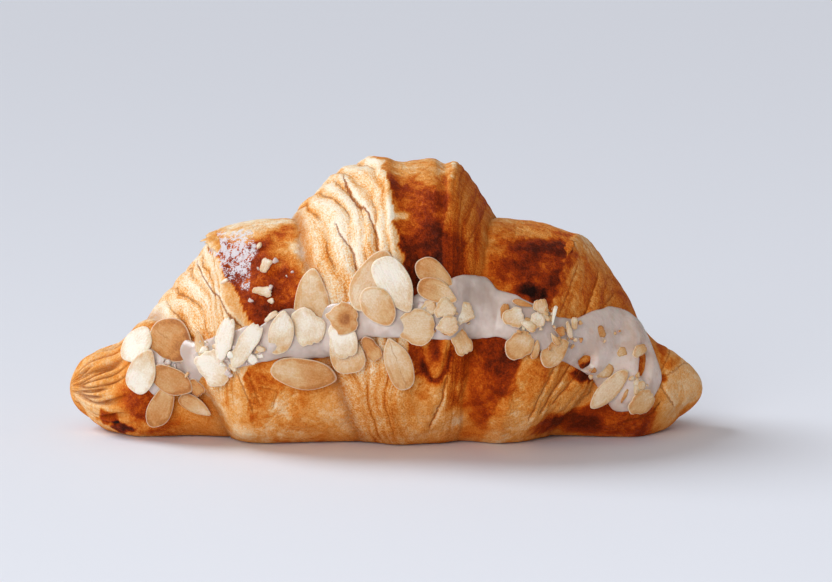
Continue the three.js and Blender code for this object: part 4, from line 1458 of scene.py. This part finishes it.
def addFloor():
    # one large square at height 0
    far = studio["floorReach"] * mm
    mesh = bpy.data.meshes.new("floor_pale")
    mesh.from_pydata([(-far, -far, 0), (far, -far, 0), (far, far, 0), (-far, far, 0)], [], [(0, 1, 2, 3)])
    material, wire, shader = newMaterial("floor_finish")
    plug(wire, shader, BaseColor=colour(studio["floor"]), Roughness=studio["floorRough"])
    mesh.materials.append(material)
    floor = bpy.data.objects.new("floor_pale", mesh)
    bpy.context.scene.collection.objects.link(floor)


def addFill(place, size, watts):
    # a square soft light that faces the middle of the croissant
    data = bpy.data.lights.new("fill_light", "AREA")
    data.size = size * mm
    data.energy = watts
    lamp = bpy.data.objects.new("fill_light", data)
    lamp.location = Vector(place) * mm
    towards = Vector(studio["fillAim"]) * mm - lamp.location
    lamp.rotation_euler = towards.to_track_quat("-Z", "Y").to_euler()
    bpy.context.scene.collection.objects.link(lamp)


def addSun():
    # a wide sun from the left and a little from behind
    data = bpy.data.lights.new("window_light", "SUN")
    data.energy = studio["sunLight"]
    data.color = studio["sunColour"]
    data.angle = math.radians(studio["sunSpread"])
    sun = bpy.data.objects.new("window_light", data)
    sun.rotation_euler = (-Vector(studio["sunFrom"])).to_track_quat("-Z", "Y").to_euler()
    bpy.context.scene.collection.objects.link(sun)


def addWorld():
    # the same pale light from everywhere
    world = bpy.data.worlds.new("pale_room")
    world.use_nodes = True
    background = world.node_tree.nodes["Background"]
    background.inputs["Color"].default_value = colour(studio["sky"])
    background.inputs["Strength"].default_value = studio["skyLight"]
    bpy.context.scene.world = world


def addCamera():
    # looks along +Y and down; the lens gives the aim's plane the picture's size for a pixel
    data = bpy.data.cameras.new("camera_front")
    data.sensor_fit = "HORIZONTAL"
    data.sensor_width = studio["sensor"]
    data.lens = studio["distance"] / studio["pixelSize"] / studio["pictureWide"] * studio["sensor"]
    data.clip_end = studio["farthest"]
    camera = bpy.data.objects.new("camera_front", data)
    tilt = math.radians(studio["elevation"])
    aim = Vector((np.array(studio["aim"]) + shift).tolist())
    camera.location = (aim + studio["distance"] * Vector((0, -math.cos(tilt), math.sin(tilt)))) * mm
    camera.rotation_euler = (math.pi / 2 - tilt, 0, 0)
    bpy.context.scene.collection.objects.link(camera)
    bpy.context.scene.camera = camera


bpy.context.scene.view_settings.view_transform = "Standard"
addFloor()
addWorld()
addSun()
addFill(**studio["fill"])
addCamera()
print("studio ready")
crustFinish = crustMaterial()
addCrust(crustFinish)
addLips("left", crustFinish)
addLips("right", crustFinish)
icingFinish = icingMaterial()
almondFinish = almondMaterial()
addIcing(icingFinish)
bits = brokenBits(almonds["bits"], almonds["seed"])
crumbs = brokenBits(almonds["icingBits"], almonds["seed"] + 1)
addAlmonds("almond_flakes", almonds["flakes"], almonds["flakeGrid"], almondFinish)
addAlmonds("almond_bits", bits, almonds["bitGrid"], almondFinish)
addAlmonds("icing_crumbs", crumbs, almonds["crumbGrid"], icingFinish)
